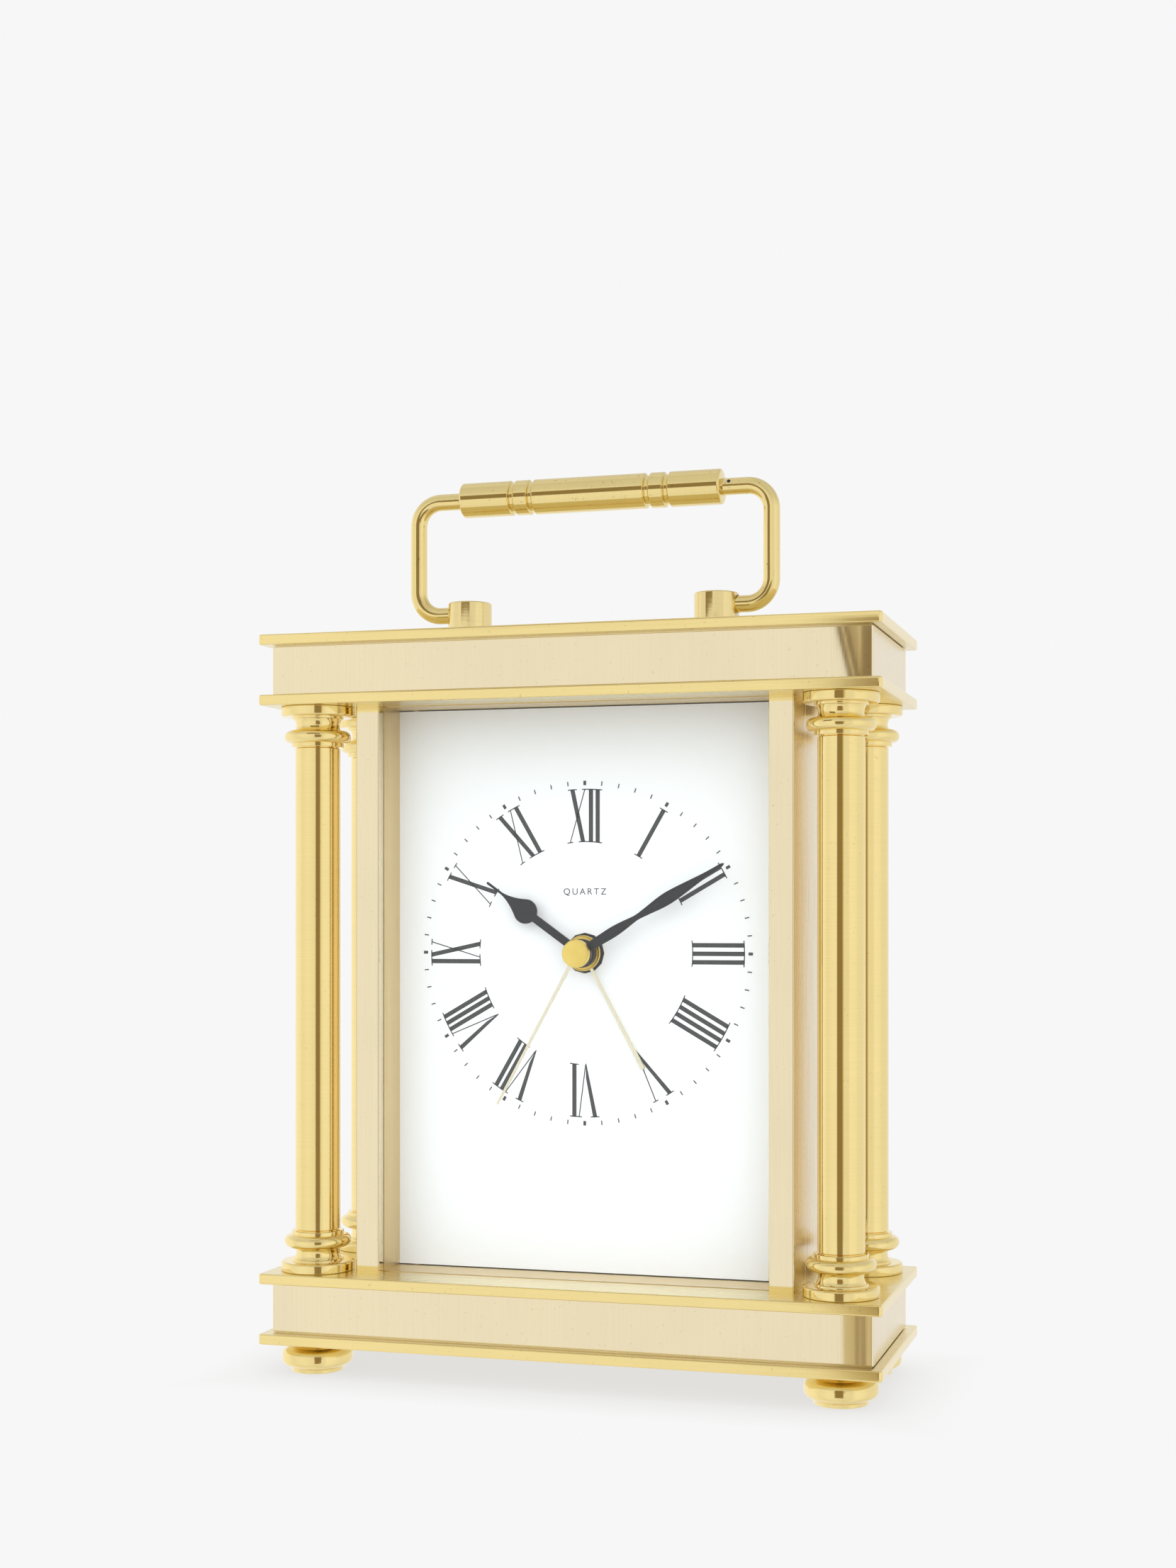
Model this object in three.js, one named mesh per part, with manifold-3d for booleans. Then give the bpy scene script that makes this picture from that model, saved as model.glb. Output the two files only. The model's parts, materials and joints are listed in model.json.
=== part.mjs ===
// Brass mantel clock with four columns, a folding handle and a quartz alarm movement.
// Millimetres. +Z is up, the dial faces -Y, and the origin is on the ground under the middle of the base.
import * as THREE from 'three';
import { mergeVertices } from 'three/addons/utils/BufferGeometryUtils.js';
import Module from 'manifold-3d';

const wasm = await Module();
wasm.setup();

// ---------------------------------------------------------------- driving dimensions

const PLATE = { width: 120, depth: 42.4, thickness: 2 };
const BLOCK = { width: 116.2, depth: 37.8, height: 9.5, wall: 1.5 };
const FOOT = { height: 5.8, bottomRadius: 5, widestRadius: 6.8, neckRadius: 4.3 };
const COLUMN = {
  x: 51.3, y: 13.1, height: 108.5, ringHeight: 7.7, shaftRadius: 4.4,
  discRadius: 7, torusRadius: 6.4, neckRadius: 4.1, collarRadius: 5,
};
const SPIGOT = { radius: 1.5, holeRadius: 1.65, bottom: 2 };
const CASE = {
  halfWidth: 42.9, sheet: 1.4, front: -14.1, back: 14.1, rearSheet: 1.2,
  stileWidth: 4.8, dialFront: -4.1, dialSheet: 0.8, fit: 0.3,
};
const GLASS = { front: -12.9, back: -11.9, halfWidth: 40, grooveGap: 0.1 };
const HANDLE = {
  postX: 24.9, postRadius: 4.35, postHeight: 7.5, pivotHeight: 5.3,
  rodRadius: 1.6, pivotHoleRadius: 1.7, armX: 35.6, bendRadius: 4.6, armStart: 22.4,
  gripHeight: 27.7, gripRadius: 3.45, gripHalfLength: 26.1,
};
const DIAL = { centreAboveBase: 61.2, holeRadius: 3.9 };

// Hands from back to front. Rest readings are in degrees clockwise from twelve; hubs and blades have
// the places of their front and back faces.
const HANDS = {
  alarm: {
    degrees: 151.5, length: 25.7, rootHalf: 0.32, tipHalf: 0.42,
    hub: { radius: 3.4, front: -5.5, back: -4.6 }, blade: { front: -5.2, back: -4.9 },
  },
  hour: {
    degrees: 305.5, length: 23.3,
    hub: { radius: 2.75, front: -7.1, back: -5.8 }, blade: { front: -6.7, back: -6.3 },
  },
  minute: {
    degrees: 59.2, length: 32.9,
    hub: { radius: 2.6, front: -8.7, back: -7.4 }, blade: { front: -8.3, back: -7.9 },
  },
  second: {
    degrees: 208.8, length: 33.6, rootHalf: 0.35, tipHalf: 0.22,
    hub: { radius: 2.65, front: -10.2, back: -9 }, blade: { front: -9.5, back: -9.2 },
  },
};
const SPADE = { stemHalf: 0.76, blobRadius: 2.35, blobAt: 13.7, neckAt: 19.9, neckHalf: 0.2 };

// Movement, in the frame of its centre shaft: x to the right and z up as seen from the front.
const MOVEMENT = {
  half: 28, front: -3.3, back: 12.7, frontWall: 1.5, sideWall: 1.5, coverSheet: 1.5,
  chamberFloor: -9.9, bayRoof: -11.2, bayHalfLength: 26, bossRadius: 3.7, bossProud: 0.2,
  bossBore: 2.5,
};
const BATTERY = { radius: 7.05, bodyLength: 48.6, nubRadius: 2.75, nubLength: 1.2, z: -18.8, y: 5.2 };

// Front faces of the layers in which the wheels turn, each WHEEL_SHEET thick.
const LAYER = { alarm: -1.4, hour: -0.2, motion: 1, centre: 2.2, third: 3.4, second: 4.6, step: 5.8 };
const WHEEL_SHEET = 0.8;
const TRAIN_PLATE = { front: 7.2, back: 8.2, halfWidth: 25.2, bottom: -9.2, top: 25.4 };

const MOTION_MODULE = 0.45;
const TEETH = {
  cannonPinion: 10, motionWheel: 30, motionPinion: 8, hourWheel: 32, timeSetPinion: 12,
  alarmWheel: 30, alarmSetPinion: 18,
  pinion: 6, centreWheel: 48, thirdWheel: 45, secondWheel: 30, stepWheel: 36,
};
const THIRD_MODULE = 0.4;
const SECOND_MODULE = 0.5;
const STEP_MODULE = 0.4;

// Arbor places. Distances follow from the tooth counts, so the pairs are in mesh.
const meshDistance = (teethA, teethB, module) => (teethA + teethB) / 2 * module;
const THIRD_DISTANCE = meshDistance(TEETH.pinion, TEETH.thirdWheel, THIRD_MODULE);
const CENTRE_MODULE = 2 * THIRD_DISTANCE / (TEETH.pinion + TEETH.centreWheel);
const MOTION_AT = [meshDistance(TEETH.cannonPinion, TEETH.motionWheel, MOTION_MODULE), 0];
const TIME_SET_AT = [
  MOTION_AT[0] + meshDistance(TEETH.motionWheel, TEETH.timeSetPinion, MOTION_MODULE), 0,
];
const ALARM_SET_AT = [-meshDistance(TEETH.alarmWheel, TEETH.alarmSetPinion, MOTION_MODULE), 0];
const THIRD_AT = [0, THIRD_DISTANCE];
const STEP_AT = [0, meshDistance(TEETH.pinion, TEETH.secondWheel, SECOND_MODULE)];
const ROTOR_DIRECTION = THREE.MathUtils.degToRad(160);
const ROTOR_DISTANCE = meshDistance(TEETH.pinion, TEETH.stepWheel, STEP_MODULE);
const ROTOR_AT = [
  STEP_AT[0] + ROTOR_DISTANCE * Math.cos(ROTOR_DIRECTION),
  STEP_AT[1] + ROTOR_DISTANCE * Math.sin(ROTOR_DIRECTION),
];

// Concentric tubes of the centre stack: outer radius, bore and front end.
const STACK = {
  alarm: { radius: 2.35, bore: 1.98, tip: -5.4 },
  hour: { radius: 1.85, bore: 1.42, tip: -7 },
  minute: { radius: 1.3, bore: 0.85, tip: -8.6 },
  second: { radius: 0.7, tip: -9.6 },
};
const PIVOT_RADIUS = 0.4;
const PIVOT_HOLE_RADIUS = 0.55;
const ARBOR_RADIUS = 0.8;
const ARBOR_HOLE_RADIUS = 1;
const STEP_STUD_RADIUS = 0.6;
const BORE_PLAY = 0.1;
const HUB_CLEARANCE = 0.07;
const SWITCH = { x: -16, z: 17, travel: 4, neckWidth: 3, neckHeight: 2.2, gap: 0.2 };
const KNOB = {
  timeRadius: 4.2, timeEnd: 16.8, alarmRadius: 3.8, alarmEnd: 16.2, flutes: 14, fluteDepth: 0.45,
};
const STATOR = {
  left: -21.5, right: -2.6, barBottom: 8.9, barTop: 14.8, legTop: 23.5, legWidth: 2.4,
  front: 4.6, back: 5.4, rotorHole: 2.2,
};
const COIL = { start: -18.9, end: -5.2, flange: 0.8, flangeRadius: 2.1, windingRadius: 1.8, y: 5, z: 22 };
const BOARD = { left: 2, right: 25, bottom: 9.5, top: 25, sheet: 0.8, back: 9.4 };
const CHIP = { x: 7, z: 17, radius: 2.2, height: 0.8 };
const SOUNDER = { x: 17.5, z: 17.5, radius: 5.5, height: 1.6 };
const CONTACT = {
  halfWidth: 4.5, front: 0.5, back: 10.5, sheet: 0.4, gap: 0.1, springBase: 4, springTip: 2.2,
};

// Heights that follow from the stack of plates, blocks and columns.
const BASE_BOTTOM = FOOT.height;
const PLINTH_BOTTOM = BASE_BOTTOM + PLATE.thickness;
const BASE_TOP_PLATE_BOTTOM = PLINTH_BOTTOM + BLOCK.height;
const COLUMN_BOTTOM = BASE_TOP_PLATE_BOTTOM + PLATE.thickness;
const COLUMN_TOP = COLUMN_BOTTOM + COLUMN.height;
const CORNICE_BOTTOM = COLUMN_TOP + PLATE.thickness;
const TOP_PLATE_BOTTOM = CORNICE_BOTTOM + BLOCK.height;
const TOP = TOP_PLATE_BOTTOM + PLATE.thickness;
const SHAFT_HEIGHT = COLUMN_BOTTOM + DIAL.centreAboveBase;

// ---------------------------------------------------------------- materials

const finish = (color, roughness, metalness) =>
  new THREE.MeshStandardMaterial({ color, roughness, metalness });

const BRASS = () => finish(0xe6cf86, 0.28, 1);
const PALE_GOLD = () => finish(0xf2e3a8, 0.3, 1);
const BLACK_PLASTIC = () => finish(0x1b1b1d, 0.55, 0);
const WHEEL_PLASTIC = () => finish(0xe4e0d4, 0.5, 0);
const STEEL = () => finish(0x9a9da1, 0.35, 1);
const DIAL_WHITE = () => finish(0xf7f8fa, 0.6, 0);
const HAND_BLACK = () => finish(0x2c2c2f, 0.5, 0);
const COPPER = () => finish(0xb4663a, 0.35, 1);
const BOARD_GREEN = () => finish(0x2f6b46, 0.5, 0);
const CELL_JACKET = () => finish(0x2e3440, 0.35, 0.3);

function glassMaterial() {
  const material = finish(0xf4f8f8, 0.05, 0);
  material.transparent = true;
  material.opacity = 0.25;
  return material;
}

// ---------------------------------------------------------------- shape helpers

function rectangle(x0, y0, x1, y1) {
  const shape = new THREE.Shape();
  shape.moveTo(x0, y0).lineTo(x1, y0).lineTo(x1, y1).lineTo(x0, y1).closePath();
  return shape;
}

function circle(x, y, radius) {
  return new THREE.Shape().absarc(x, y, radius, 0, 2 * Math.PI, false);
}

function withHoles(shape, ...holes) {
  shape.holes.push(...holes);
  return shape;
}

// Extrudes a plan-view outline from height z0 to z1.
function raised(shape, z0, z1, curveSegments = 6) {
  const geometry = new THREE.ExtrudeGeometry(shape, { depth: z1 - z0, bevelEnabled: false, curveSegments });
  return geometry.translate(0, 0, z0);
}

// Extrudes a front-view outline, x to the right and z up, from yFront to yBack.
function sheet(shape, yFront, yBack, curveSegments = 6) {
  const depth = yBack - yFront;
  const geometry = new THREE.ExtrudeGeometry(shape, { depth, bevelEnabled: false, curveSegments });
  return geometry.rotateX(Math.PI / 2).translate(0, yBack, 0);
}

// Turns a profile of [radius, height] points about the Z axis.
function turned(profile, segments = 16) {
  const points = profile.map(([radius, height]) => new THREE.Vector2(radius, height));
  return new THREE.LatheGeometry(points, segments).rotateX(Math.PI / 2);
}

// Turns a profile of [radius, distance] points about the X axis.
function turnedAlongX(profile, segments = 16) {
  return turned(profile, segments).rotateY(Math.PI / 2);
}

// A full circle gets two sides for each curve segment.
const disc = (x, z, radius, yFront, yBack, sides = 16) =>
  sheet(circle(x, z, radius), yFront, yBack, sides / 2);

function toSolid(geometry) {
  const bare = geometry.clone();
  bare.deleteAttribute('normal');
  bare.deleteAttribute('uv');
  const merged = mergeVertices(bare, 1e-4);
  return new wasm.Manifold(new wasm.Mesh({
    numProp: 3,
    vertProperties: new Float32Array(merged.attributes.position.array),
    triVerts: new Uint32Array(merged.index.array),
  }));
}

function toGeometry(solid) {
  const { vertProperties, triVerts } = solid.getMesh();
  const geometry = new THREE.BufferGeometry();
  geometry.setAttribute('position', new THREE.BufferAttribute(vertProperties, 3));
  geometry.setIndex(new THREE.BufferAttribute(triVerts, 1));
  return geometry;
}

function joined(...geometries) {
  return toGeometry(geometries.map(toSolid).reduce((whole, next) => whole.add(next)));
}

function cut(geometry, ...tools) {
  return toGeometry(tools.map(toSolid).reduce((rest, tool) => rest.subtract(tool), toSolid(geometry)));
}

function place(parent, name, geometry, material, x = 0, y = 0, z = 0) {
  const mesh = new THREE.Mesh(geometry, material);
  mesh.name = name;
  mesh.position.set(x, y, z);
  parent.add(mesh);
}

// ---------------------------------------------------------------- gears

const ADDENDUM = 0.75;
const DEDENDUM = 1;
const TOOTH_ROOT_SHARE = 0.3;

// A gear outline with pointed teeth; one tooth stands at the given angle.
function gearOutline(teeth, module, angle, x = 0, z = 0) {
  const shape = new THREE.Shape();
  const pitch = 2 * Math.PI / teeth;
  const root = (teeth / 2 - DEDENDUM) * module;
  const tip = (teeth / 2 + ADDENDUM) * module;
  const corners = [[-TOOTH_ROOT_SHARE, root], [0, tip], [TOOTH_ROOT_SHARE, root]];
  for (let tooth = 0; tooth < teeth; tooth += 1) {
    for (const [share, radius] of corners) {
      const turn = angle + (tooth + share) * pitch;
      const point = [x + radius * Math.cos(turn), z + radius * Math.sin(turn)];
      if (tooth === 0 && share < 0) shape.moveTo(...point);
      else shape.lineTo(...point);
    }
  }
  shape.closePath();
  return shape;
}

// The tooth angle that puts gear B in mesh with gear A across the line from A to B.
function meshAngle(teethA, angleA, from, to, teethB) {
  const line = Math.atan2(to[1] - from[1], to[0] - from[0]);
  const share = (line - angleA) * teethA / (2 * Math.PI);
  return line + Math.PI - (0.5 - share) * 2 * Math.PI / teethB;
}

const layerOf = (front) => [front, front + WHEEL_SHEET];

// ---------------------------------------------------------------- case

function spigotHoles() {
  return [-1, 1].flatMap((sx) => [-1, 1].map((sy) =>
    circle(sx * COLUMN.x, sy * COLUMN.y, SPIGOT.holeRadius)));
}

function casePlate(bottom, drilled) {
  const outline = rectangle(-PLATE.width / 2, -PLATE.depth / 2, PLATE.width / 2, PLATE.depth / 2);
  if (drilled) withHoles(outline, ...spigotHoles());
  return raised(outline, bottom, bottom + PLATE.thickness);
}

function hollowBlock(bottom) {
  const [x, y, wall] = [BLOCK.width / 2, BLOCK.depth / 2, BLOCK.wall];
  const outline = withHoles(rectangle(-x, -y, x, y), rectangle(-x + wall, -y + wall, x - wall, y - wall));
  return raised(outline, bottom, bottom + BLOCK.height);
}

function footGeometry() {
  const socketFloor = 1.8;
  const widestHeight = 2.8;
  return turned([
    [0, 0], [FOOT.bottomRadius, 0], [6.4, 1.2], [FOOT.widestRadius, widestHeight], [6.2, 4.3],
    [FOOT.neckRadius, 5.1], [FOOT.neckRadius, FOOT.height],
    [SPIGOT.holeRadius, FOOT.height], [SPIGOT.holeRadius, socketFloor], [0, socketFloor],
  ], 14);
}

// Disc, neck, torus and collar of a column end; a capital is a base turned over.
function columnRing(upsideDown) {
  const { discRadius, neckRadius, torusRadius, collarRadius, ringHeight } = COLUMN;
  const profile = [
    [SPIGOT.holeRadius, 0], [discRadius, 0], [discRadius, 1.9], [4.7, 2.4], [neckRadius, 3.4],
    [5.2, 4.4], [torusRadius, 5.8], [5.4, 6.9], [collarRadius, ringHeight - 0.5],
    [collarRadius, ringHeight], [SPIGOT.holeRadius, ringHeight], [SPIGOT.holeRadius, 0],
  ];
  if (!upsideDown) return turned(profile, 12);
  return turned(profile.map(([radius, height]) => [radius, ringHeight - height]).reverse(), 12);
}

// The shaft is turned with a long threaded spigot at each end. The lower one passes through the
// base into the foot and the upper one into the cornice, so each column ties the case together.
function columnShaft() {
  const [start, end] = [COLUMN_BOTTOM + COLUMN.ringHeight, COLUMN_TOP - COLUMN.ringHeight];
  const tip = TOP_PLATE_BOTTOM - CASE.fit;
  return turned([
    [0, SPIGOT.bottom], [SPIGOT.radius, SPIGOT.bottom], [SPIGOT.radius, start],
    [COLUMN.shaftRadius, start], [COLUMN.shaftRadius, end], [SPIGOT.radius, end],
    [SPIGOT.radius, tip], [0, tip],
  ], 14);
}

function addColumns(parent) {
  const corners = { front_left: [-1, -1], front_right: [1, -1], rear_left: [-1, 1], rear_right: [1, 1] };
  const capitalBottom = COLUMN_TOP - COLUMN.ringHeight;
  for (const [corner, [sx, sy]] of Object.entries(corners)) {
    const at = [sx * COLUMN.x, sy * COLUMN.y];
    place(parent, `foot_${corner}`, footGeometry(), BRASS(), ...at, 0);
    place(parent, `column_base_${corner}`, columnRing(false), BRASS(), ...at, COLUMN_BOTTOM);
    place(parent, `column_shaft_${corner}`, columnShaft(), BRASS(), ...at, 0);
    place(parent, `column_capital_${corner}`, columnRing(true), BRASS(), ...at, capitalBottom);
  }
}

// Corner stile beside the dial, with the groove that holds the glass.
function stileGeometry(side) {
  const outer = CASE.halfWidth;
  const inner = outer - CASE.stileWidth;
  const grooveEnd = GLASS.halfWidth + 2 * GLASS.grooveGap;
  const [grooveFront, grooveBack] = [GLASS.front - GLASS.grooveGap, GLASS.back + GLASS.grooveGap];
  const corners = [
    [inner, CASE.front], [outer, CASE.front], [outer, CASE.dialFront], [inner, CASE.dialFront],
    [inner, grooveBack], [grooveEnd, grooveBack], [grooveEnd, grooveFront], [inner, grooveFront],
  ];
  const mirrored = side < 0 ? corners.map(([x, y]) => [-x, y]).reverse() : corners;
  const shape = new THREE.Shape(mirrored.map(([x, y]) => new THREE.Vector2(x, y)));
  return raised(shape, COLUMN_BOTTOM, COLUMN_TOP);
}

function sidePanel(side) {
  const [a, b] = [side * CASE.halfWidth, side * (CASE.halfWidth - CASE.sheet)];
  const outline = rectangle(Math.min(a, b), CASE.dialFront, Math.max(a, b), CASE.back);
  return raised(outline, COLUMN_BOTTOM, COLUMN_TOP);
}

function addCase(parent) {
  place(parent, 'base_bottom_plate', casePlate(BASE_BOTTOM, true), BRASS());
  place(parent, 'base_plinth', hollowBlock(PLINTH_BOTTOM), BRASS());
  place(parent, 'base_top_plate', casePlate(BASE_TOP_PLATE_BOTTOM, true), BRASS());
  place(parent, 'cornice_lower_plate', casePlate(COLUMN_TOP, true), BRASS());
  place(parent, 'cornice_block', hollowBlock(CORNICE_BOTTOM), BRASS());
  place(parent, 'top_plate', casePlate(TOP_PLATE_BOTTOM, false), BRASS());
  for (const [name, side] of [['left', -1], ['right', 1]]) {
    place(parent, `front_stile_${name}`, stileGeometry(side), BRASS());
    place(parent, `side_panel_${name}`, sidePanel(side), BRASS());
  }
  const innerHalf = CASE.halfWidth - CASE.sheet - CASE.fit;
  const [bottom, top] = [COLUMN_BOTTOM + CASE.fit, COLUMN_TOP - CASE.fit];
  const pane = rectangle(-GLASS.halfWidth, bottom, GLASS.halfWidth, top);
  place(parent, 'front_glass', sheet(pane, GLASS.front, GLASS.back), glassMaterial());
  const dial = withHoles(
    rectangle(-innerHalf, bottom, innerHalf, top), circle(0, SHAFT_HEIGHT, DIAL.holeRadius),
  );
  place(parent, 'dial_plate', sheet(dial, CASE.dialFront, CASE.dialFront + CASE.dialSheet), DIAL_WHITE());
  const window = MOVEMENT.half + 0.4;
  const rear = withHoles(
    rectangle(-innerHalf, bottom, innerHalf, top),
    rectangle(-window, SHAFT_HEIGHT - window, window, SHAFT_HEIGHT + window),
  );
  place(parent, 'rear_panel', sheet(rear, CASE.back - CASE.rearSheet, CASE.back), BRASS());
}

// ---------------------------------------------------------------- handle

// Centreline of an arm: out of the post, up, and back in to the end of the grip.
class ArmCurve extends THREE.Curve {
  constructor(side) {
    super();
    this.side = side;
    const { armX, bendRadius, armStart, gripHalfLength, gripHeight, pivotHeight } = HANDLE;
    this.rise = gripHeight - pivotHeight;
    this.lengths = [
      armX - bendRadius - armStart, bendRadius * Math.PI / 2, this.rise - 2 * bendRadius,
      bendRadius * Math.PI / 2, armX - bendRadius - gripHalfLength,
    ];
    this.total = this.lengths.reduce((sum, length) => sum + length);
  }

  getPoint(t, target = new THREE.Vector3()) {
    const { armX, bendRadius, armStart } = HANDLE;
    const [out, bend, up] = this.lengths;
    const run = t * this.total;
    const corner = armX - bendRadius;
    let x = armStart + run;
    let z = 0;
    if (run > out) {
      const turn = Math.min(run - out, bend) / bendRadius;
      x = corner + bendRadius * Math.sin(turn);
      z = bendRadius * (1 - Math.cos(turn));
    }
    if (run > out + bend) z = bendRadius + Math.min(run - out - bend, up);
    if (run > out + bend + up) {
      const turn = Math.min(run - out - bend - up, bend) / bendRadius;
      x = corner + bendRadius * Math.cos(turn);
      z = this.rise - bendRadius + bendRadius * Math.sin(turn);
    }
    if (run > out + 2 * bend + up) x = corner - (run - out - 2 * bend - up);
    return target.set(this.side * x, 0, z);
  }
}

function armGeometry(side) {
  const section = circle(0, 0, HANDLE.rodRadius);
  const options = { extrudePath: new ArmCurve(side), steps: 20, curveSegments: 4, bevelEnabled: false };
  return new THREE.ExtrudeGeometry(section, options);
}

function gripGeometry() {
  const { gripRadius, gripHalfLength } = HANDLE;
  const chamfer = 0.4;
  const [endSection, groove, grooveSlope, grooveDepth, band] = [10, 1.2, 0.2, 0.55, 2.6];
  const grooveRadius = gripRadius - grooveDepth;
  const half = [
    [0, gripHalfLength], [gripRadius - chamfer, gripHalfLength], [gripRadius, gripHalfLength - chamfer],
  ];
  const firstGroove = gripHalfLength - endSection;
  for (const start of [firstGroove, firstGroove - groove - band]) {
    half.push([gripRadius, start], [grooveRadius, start - grooveSlope]);
    half.push([grooveRadius, start - groove + grooveSlope], [gripRadius, start - groove]);
  }
  const mirrored = half.map(([radius, along]) => [radius, -along]);
  return turnedAlongX([...mirrored, ...half.reverse()], 14);
}

function postGeometry(side) {
  const { postRadius, postHeight, pivotHeight, pivotHoleRadius, postX, armStart } = HANDLE;
  const chamfer = 0.3;
  const body = turned([
    [0, 0], [postRadius, 0], [postRadius, postHeight - chamfer], [postRadius - chamfer, postHeight],
    [0, postHeight],
  ], 18);
  const holeEnd = armStart - 0.4 - postX;
  const beyond = postRadius + 1;
  const bore = turnedAlongX([
    [0, holeEnd], [pivotHoleRadius, holeEnd], [pivotHoleRadius, beyond], [0, beyond],
  ], 16);
  bore.translate(0, 0, pivotHeight);
  if (side < 0) bore.rotateZ(Math.PI);
  return cut(body, bore);
}

function addHandle(parent) {
  for (const [name, side] of [['left', -1], ['right', 1]]) {
    place(parent, `handle_post_${name}`, postGeometry(side), BRASS(), side * HANDLE.postX, 0, TOP);
    place(parent, `handle_arm_${name}`, armGeometry(side), BRASS(), 0, 0, TOP + HANDLE.pivotHeight);
  }
  place(parent, 'handle_grip', gripGeometry(), BRASS(), 0, 0, TOP + HANDLE.gripHeight);
}

// ---------------------------------------------------------------- hands

const BLADE_ROOT = 1.5;

// Closes an outline from its right-hand half, given from the hub outwards as [half width, distance].
function symmetricOutline(curve) {
  const right = curve.map(([x, z]) => new THREE.Vector2(x, z));
  const left = curve.filter(([x]) => x > 0).reverse().map(([x, z]) => new THREE.Vector2(-x, z));
  return new THREE.Shape([...right, ...left]);
}

function spadeOutline() {
  const { stemHalf, blobRadius, blobAt, neckAt, neckHalf } = SPADE;
  const tipAt = HANDS.hour.length;
  const start = Math.asin(stemHalf / blobRadius);
  const points = [[stemHalf, BLADE_ROOT]];
  const arcSteps = 9;
  const arcEnd = THREE.MathUtils.degToRad(125);
  for (let step = 0; step <= arcSteps; step += 1) {
    const turn = start + (arcEnd - start) * step / arcSteps;
    points.push([blobRadius * Math.sin(turn), blobAt - blobRadius * Math.cos(turn)]);
  }
  const [shoulder, shoulderAt] = points.at(-1);
  const flankSteps = 5;
  for (let step = 1; step <= flankSteps; step += 1) {
    const share = step / flankSteps;
    const width = neckHalf + (shoulder - neckHalf) * (1 - share) ** 1.7;
    points.push([width, shoulderAt + (neckAt - shoulderAt) * share]);
  }
  points.push([0.24, tipAt - 0.2], [0.12, tipAt]);
  return symmetricOutline(points);
}

// Two leaves joined by a waist: half width along the minute hand.
function leafOutline() {
  const stations = [
    [0.8, BLADE_ROOT], [0.93, 5], [1, 8], [0.82, 10.5], [0.52, 13.2], [0.72, 15.6], [1.05, 18.2],
    [1.18, 20.4], [1.02, 23], [0.72, 26], [0.45, 29], [0.3, 32.4], [0.15, HANDS.minute.length],
  ];
  return symmetricOutline(stations);
}

function stripOutline({ rootHalf, tipHalf, length }) {
  const corner = 0.1;
  return symmetricOutline([[rootHalf, BLADE_ROOT], [tipHalf, length - corner], [tipHalf - corner, length]]);
}

// A flat blade on a round hub. The hub's socket goes over its tube, from socketFront backwards.
function handGeometry(outline, { degrees, hub, blade }, tube, socketFront) {
  const arm = sheet(outline, blade.front, blade.back).rotateY(THREE.MathUtils.degToRad(degrees));
  const collar = disc(0, 0, hub.radius, hub.front, hub.back, 24);
  const socket = disc(0, 0, tube.radius + HUB_CLEARANCE, socketFront, hub.back + 1, 16);
  return cut(joined(arm, collar), socket);
}

function addHands(parent) {
  const through = 1;
  const { alarm, hour, minute, second } = HANDS;
  const addHand = (name, outline, hand, tube, socketFront, material) =>
    place(parent, name, handGeometry(outline, hand, tube, socketFront), material);
  addHand('alarm_hand', stripOutline(alarm), alarm, STACK.alarm, alarm.hub.front - through, PALE_GOLD());
  addHand('hour_hand', spadeOutline(), hour, STACK.hour, hour.hub.front - through, HAND_BLACK());
  addHand('minute_hand', leafOutline(), minute, STACK.minute, minute.hub.front - through, HAND_BLACK());
  const pinTip = STACK.second.tip - 0.1;
  addHand('second_hand', stripOutline(second), second, STACK.second, pinTip, PALE_GOLD());
}

// ---------------------------------------------------------------- movement

function housingGeometry() {
  const m = MOVEMENT;
  const shell = sheet(rectangle(-m.half, -m.half, m.half, m.half), m.front, m.back);
  const boss = disc(0, 0, m.bossRadius, CASE.dialFront - m.bossProud, m.front + 0.5, 24);
  const innerHalf = m.half - m.sideWall;
  const open = m.back + 1;
  const floor = m.front + m.frontWall;
  const chamber = sheet(rectangle(-innerHalf, m.chamberFloor, innerHalf, innerHalf), floor, open);
  const bay = sheet(rectangle(-m.bayHalfLength, -innerHalf, m.bayHalfLength, m.bayRoof), m.front + 1, open);
  const bore = disc(0, 0, m.bossBore, m.front - 3, m.front + 3, 16);
  const hollow = cut(joined(shell, boss), chamber, bay, bore);
  const root = floor - 0.3;
  const [postX, postBottom, postRadius] = [23.4, -6.8, 1.5];
  const posts = [[-postX, postBottom], [postX, postBottom], [-postX, postX], [postX, postX]].map(([x, z]) =>
    disc(x, z, postRadius, root, TRAIN_PLATE.front, 4));
  const motionStud = disc(...MOTION_AT, ARBOR_RADIUS, root, LAYER.motion + WHEEL_SHEET + 0.1, 8);
  const thirdStud = disc(...THIRD_AT, PIVOT_RADIUS, root, LAYER.third + WHEEL_SHEET + 0.1, 8);
  return joined(hollow, ...posts, motionStud, thirdStud);
}

function coverGeometry() {
  const m = MOVEMENT;
  const gap = 0.2;
  const innerHalf = m.half - m.sideWall - gap;
  const slotHalf = SWITCH.travel / 2 + SWITCH.neckWidth / 2 + SWITCH.gap;
  const slotX = SWITCH.x + SWITCH.travel / 2;
  const slotZ = SWITCH.neckHeight / 2 + SWITCH.gap;
  const outline = withHoles(
    rectangle(-innerHalf, m.chamberFloor + gap, innerHalf, innerHalf),
    circle(...TIME_SET_AT, ARBOR_HOLE_RADIUS), circle(...ALARM_SET_AT, ARBOR_HOLE_RADIUS),
    rectangle(slotX - slotHalf, SWITCH.z - slotZ, slotX + slotHalf, SWITCH.z + slotZ),
  );
  return sheet(outline, m.back - m.coverSheet, m.back);
}

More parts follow.
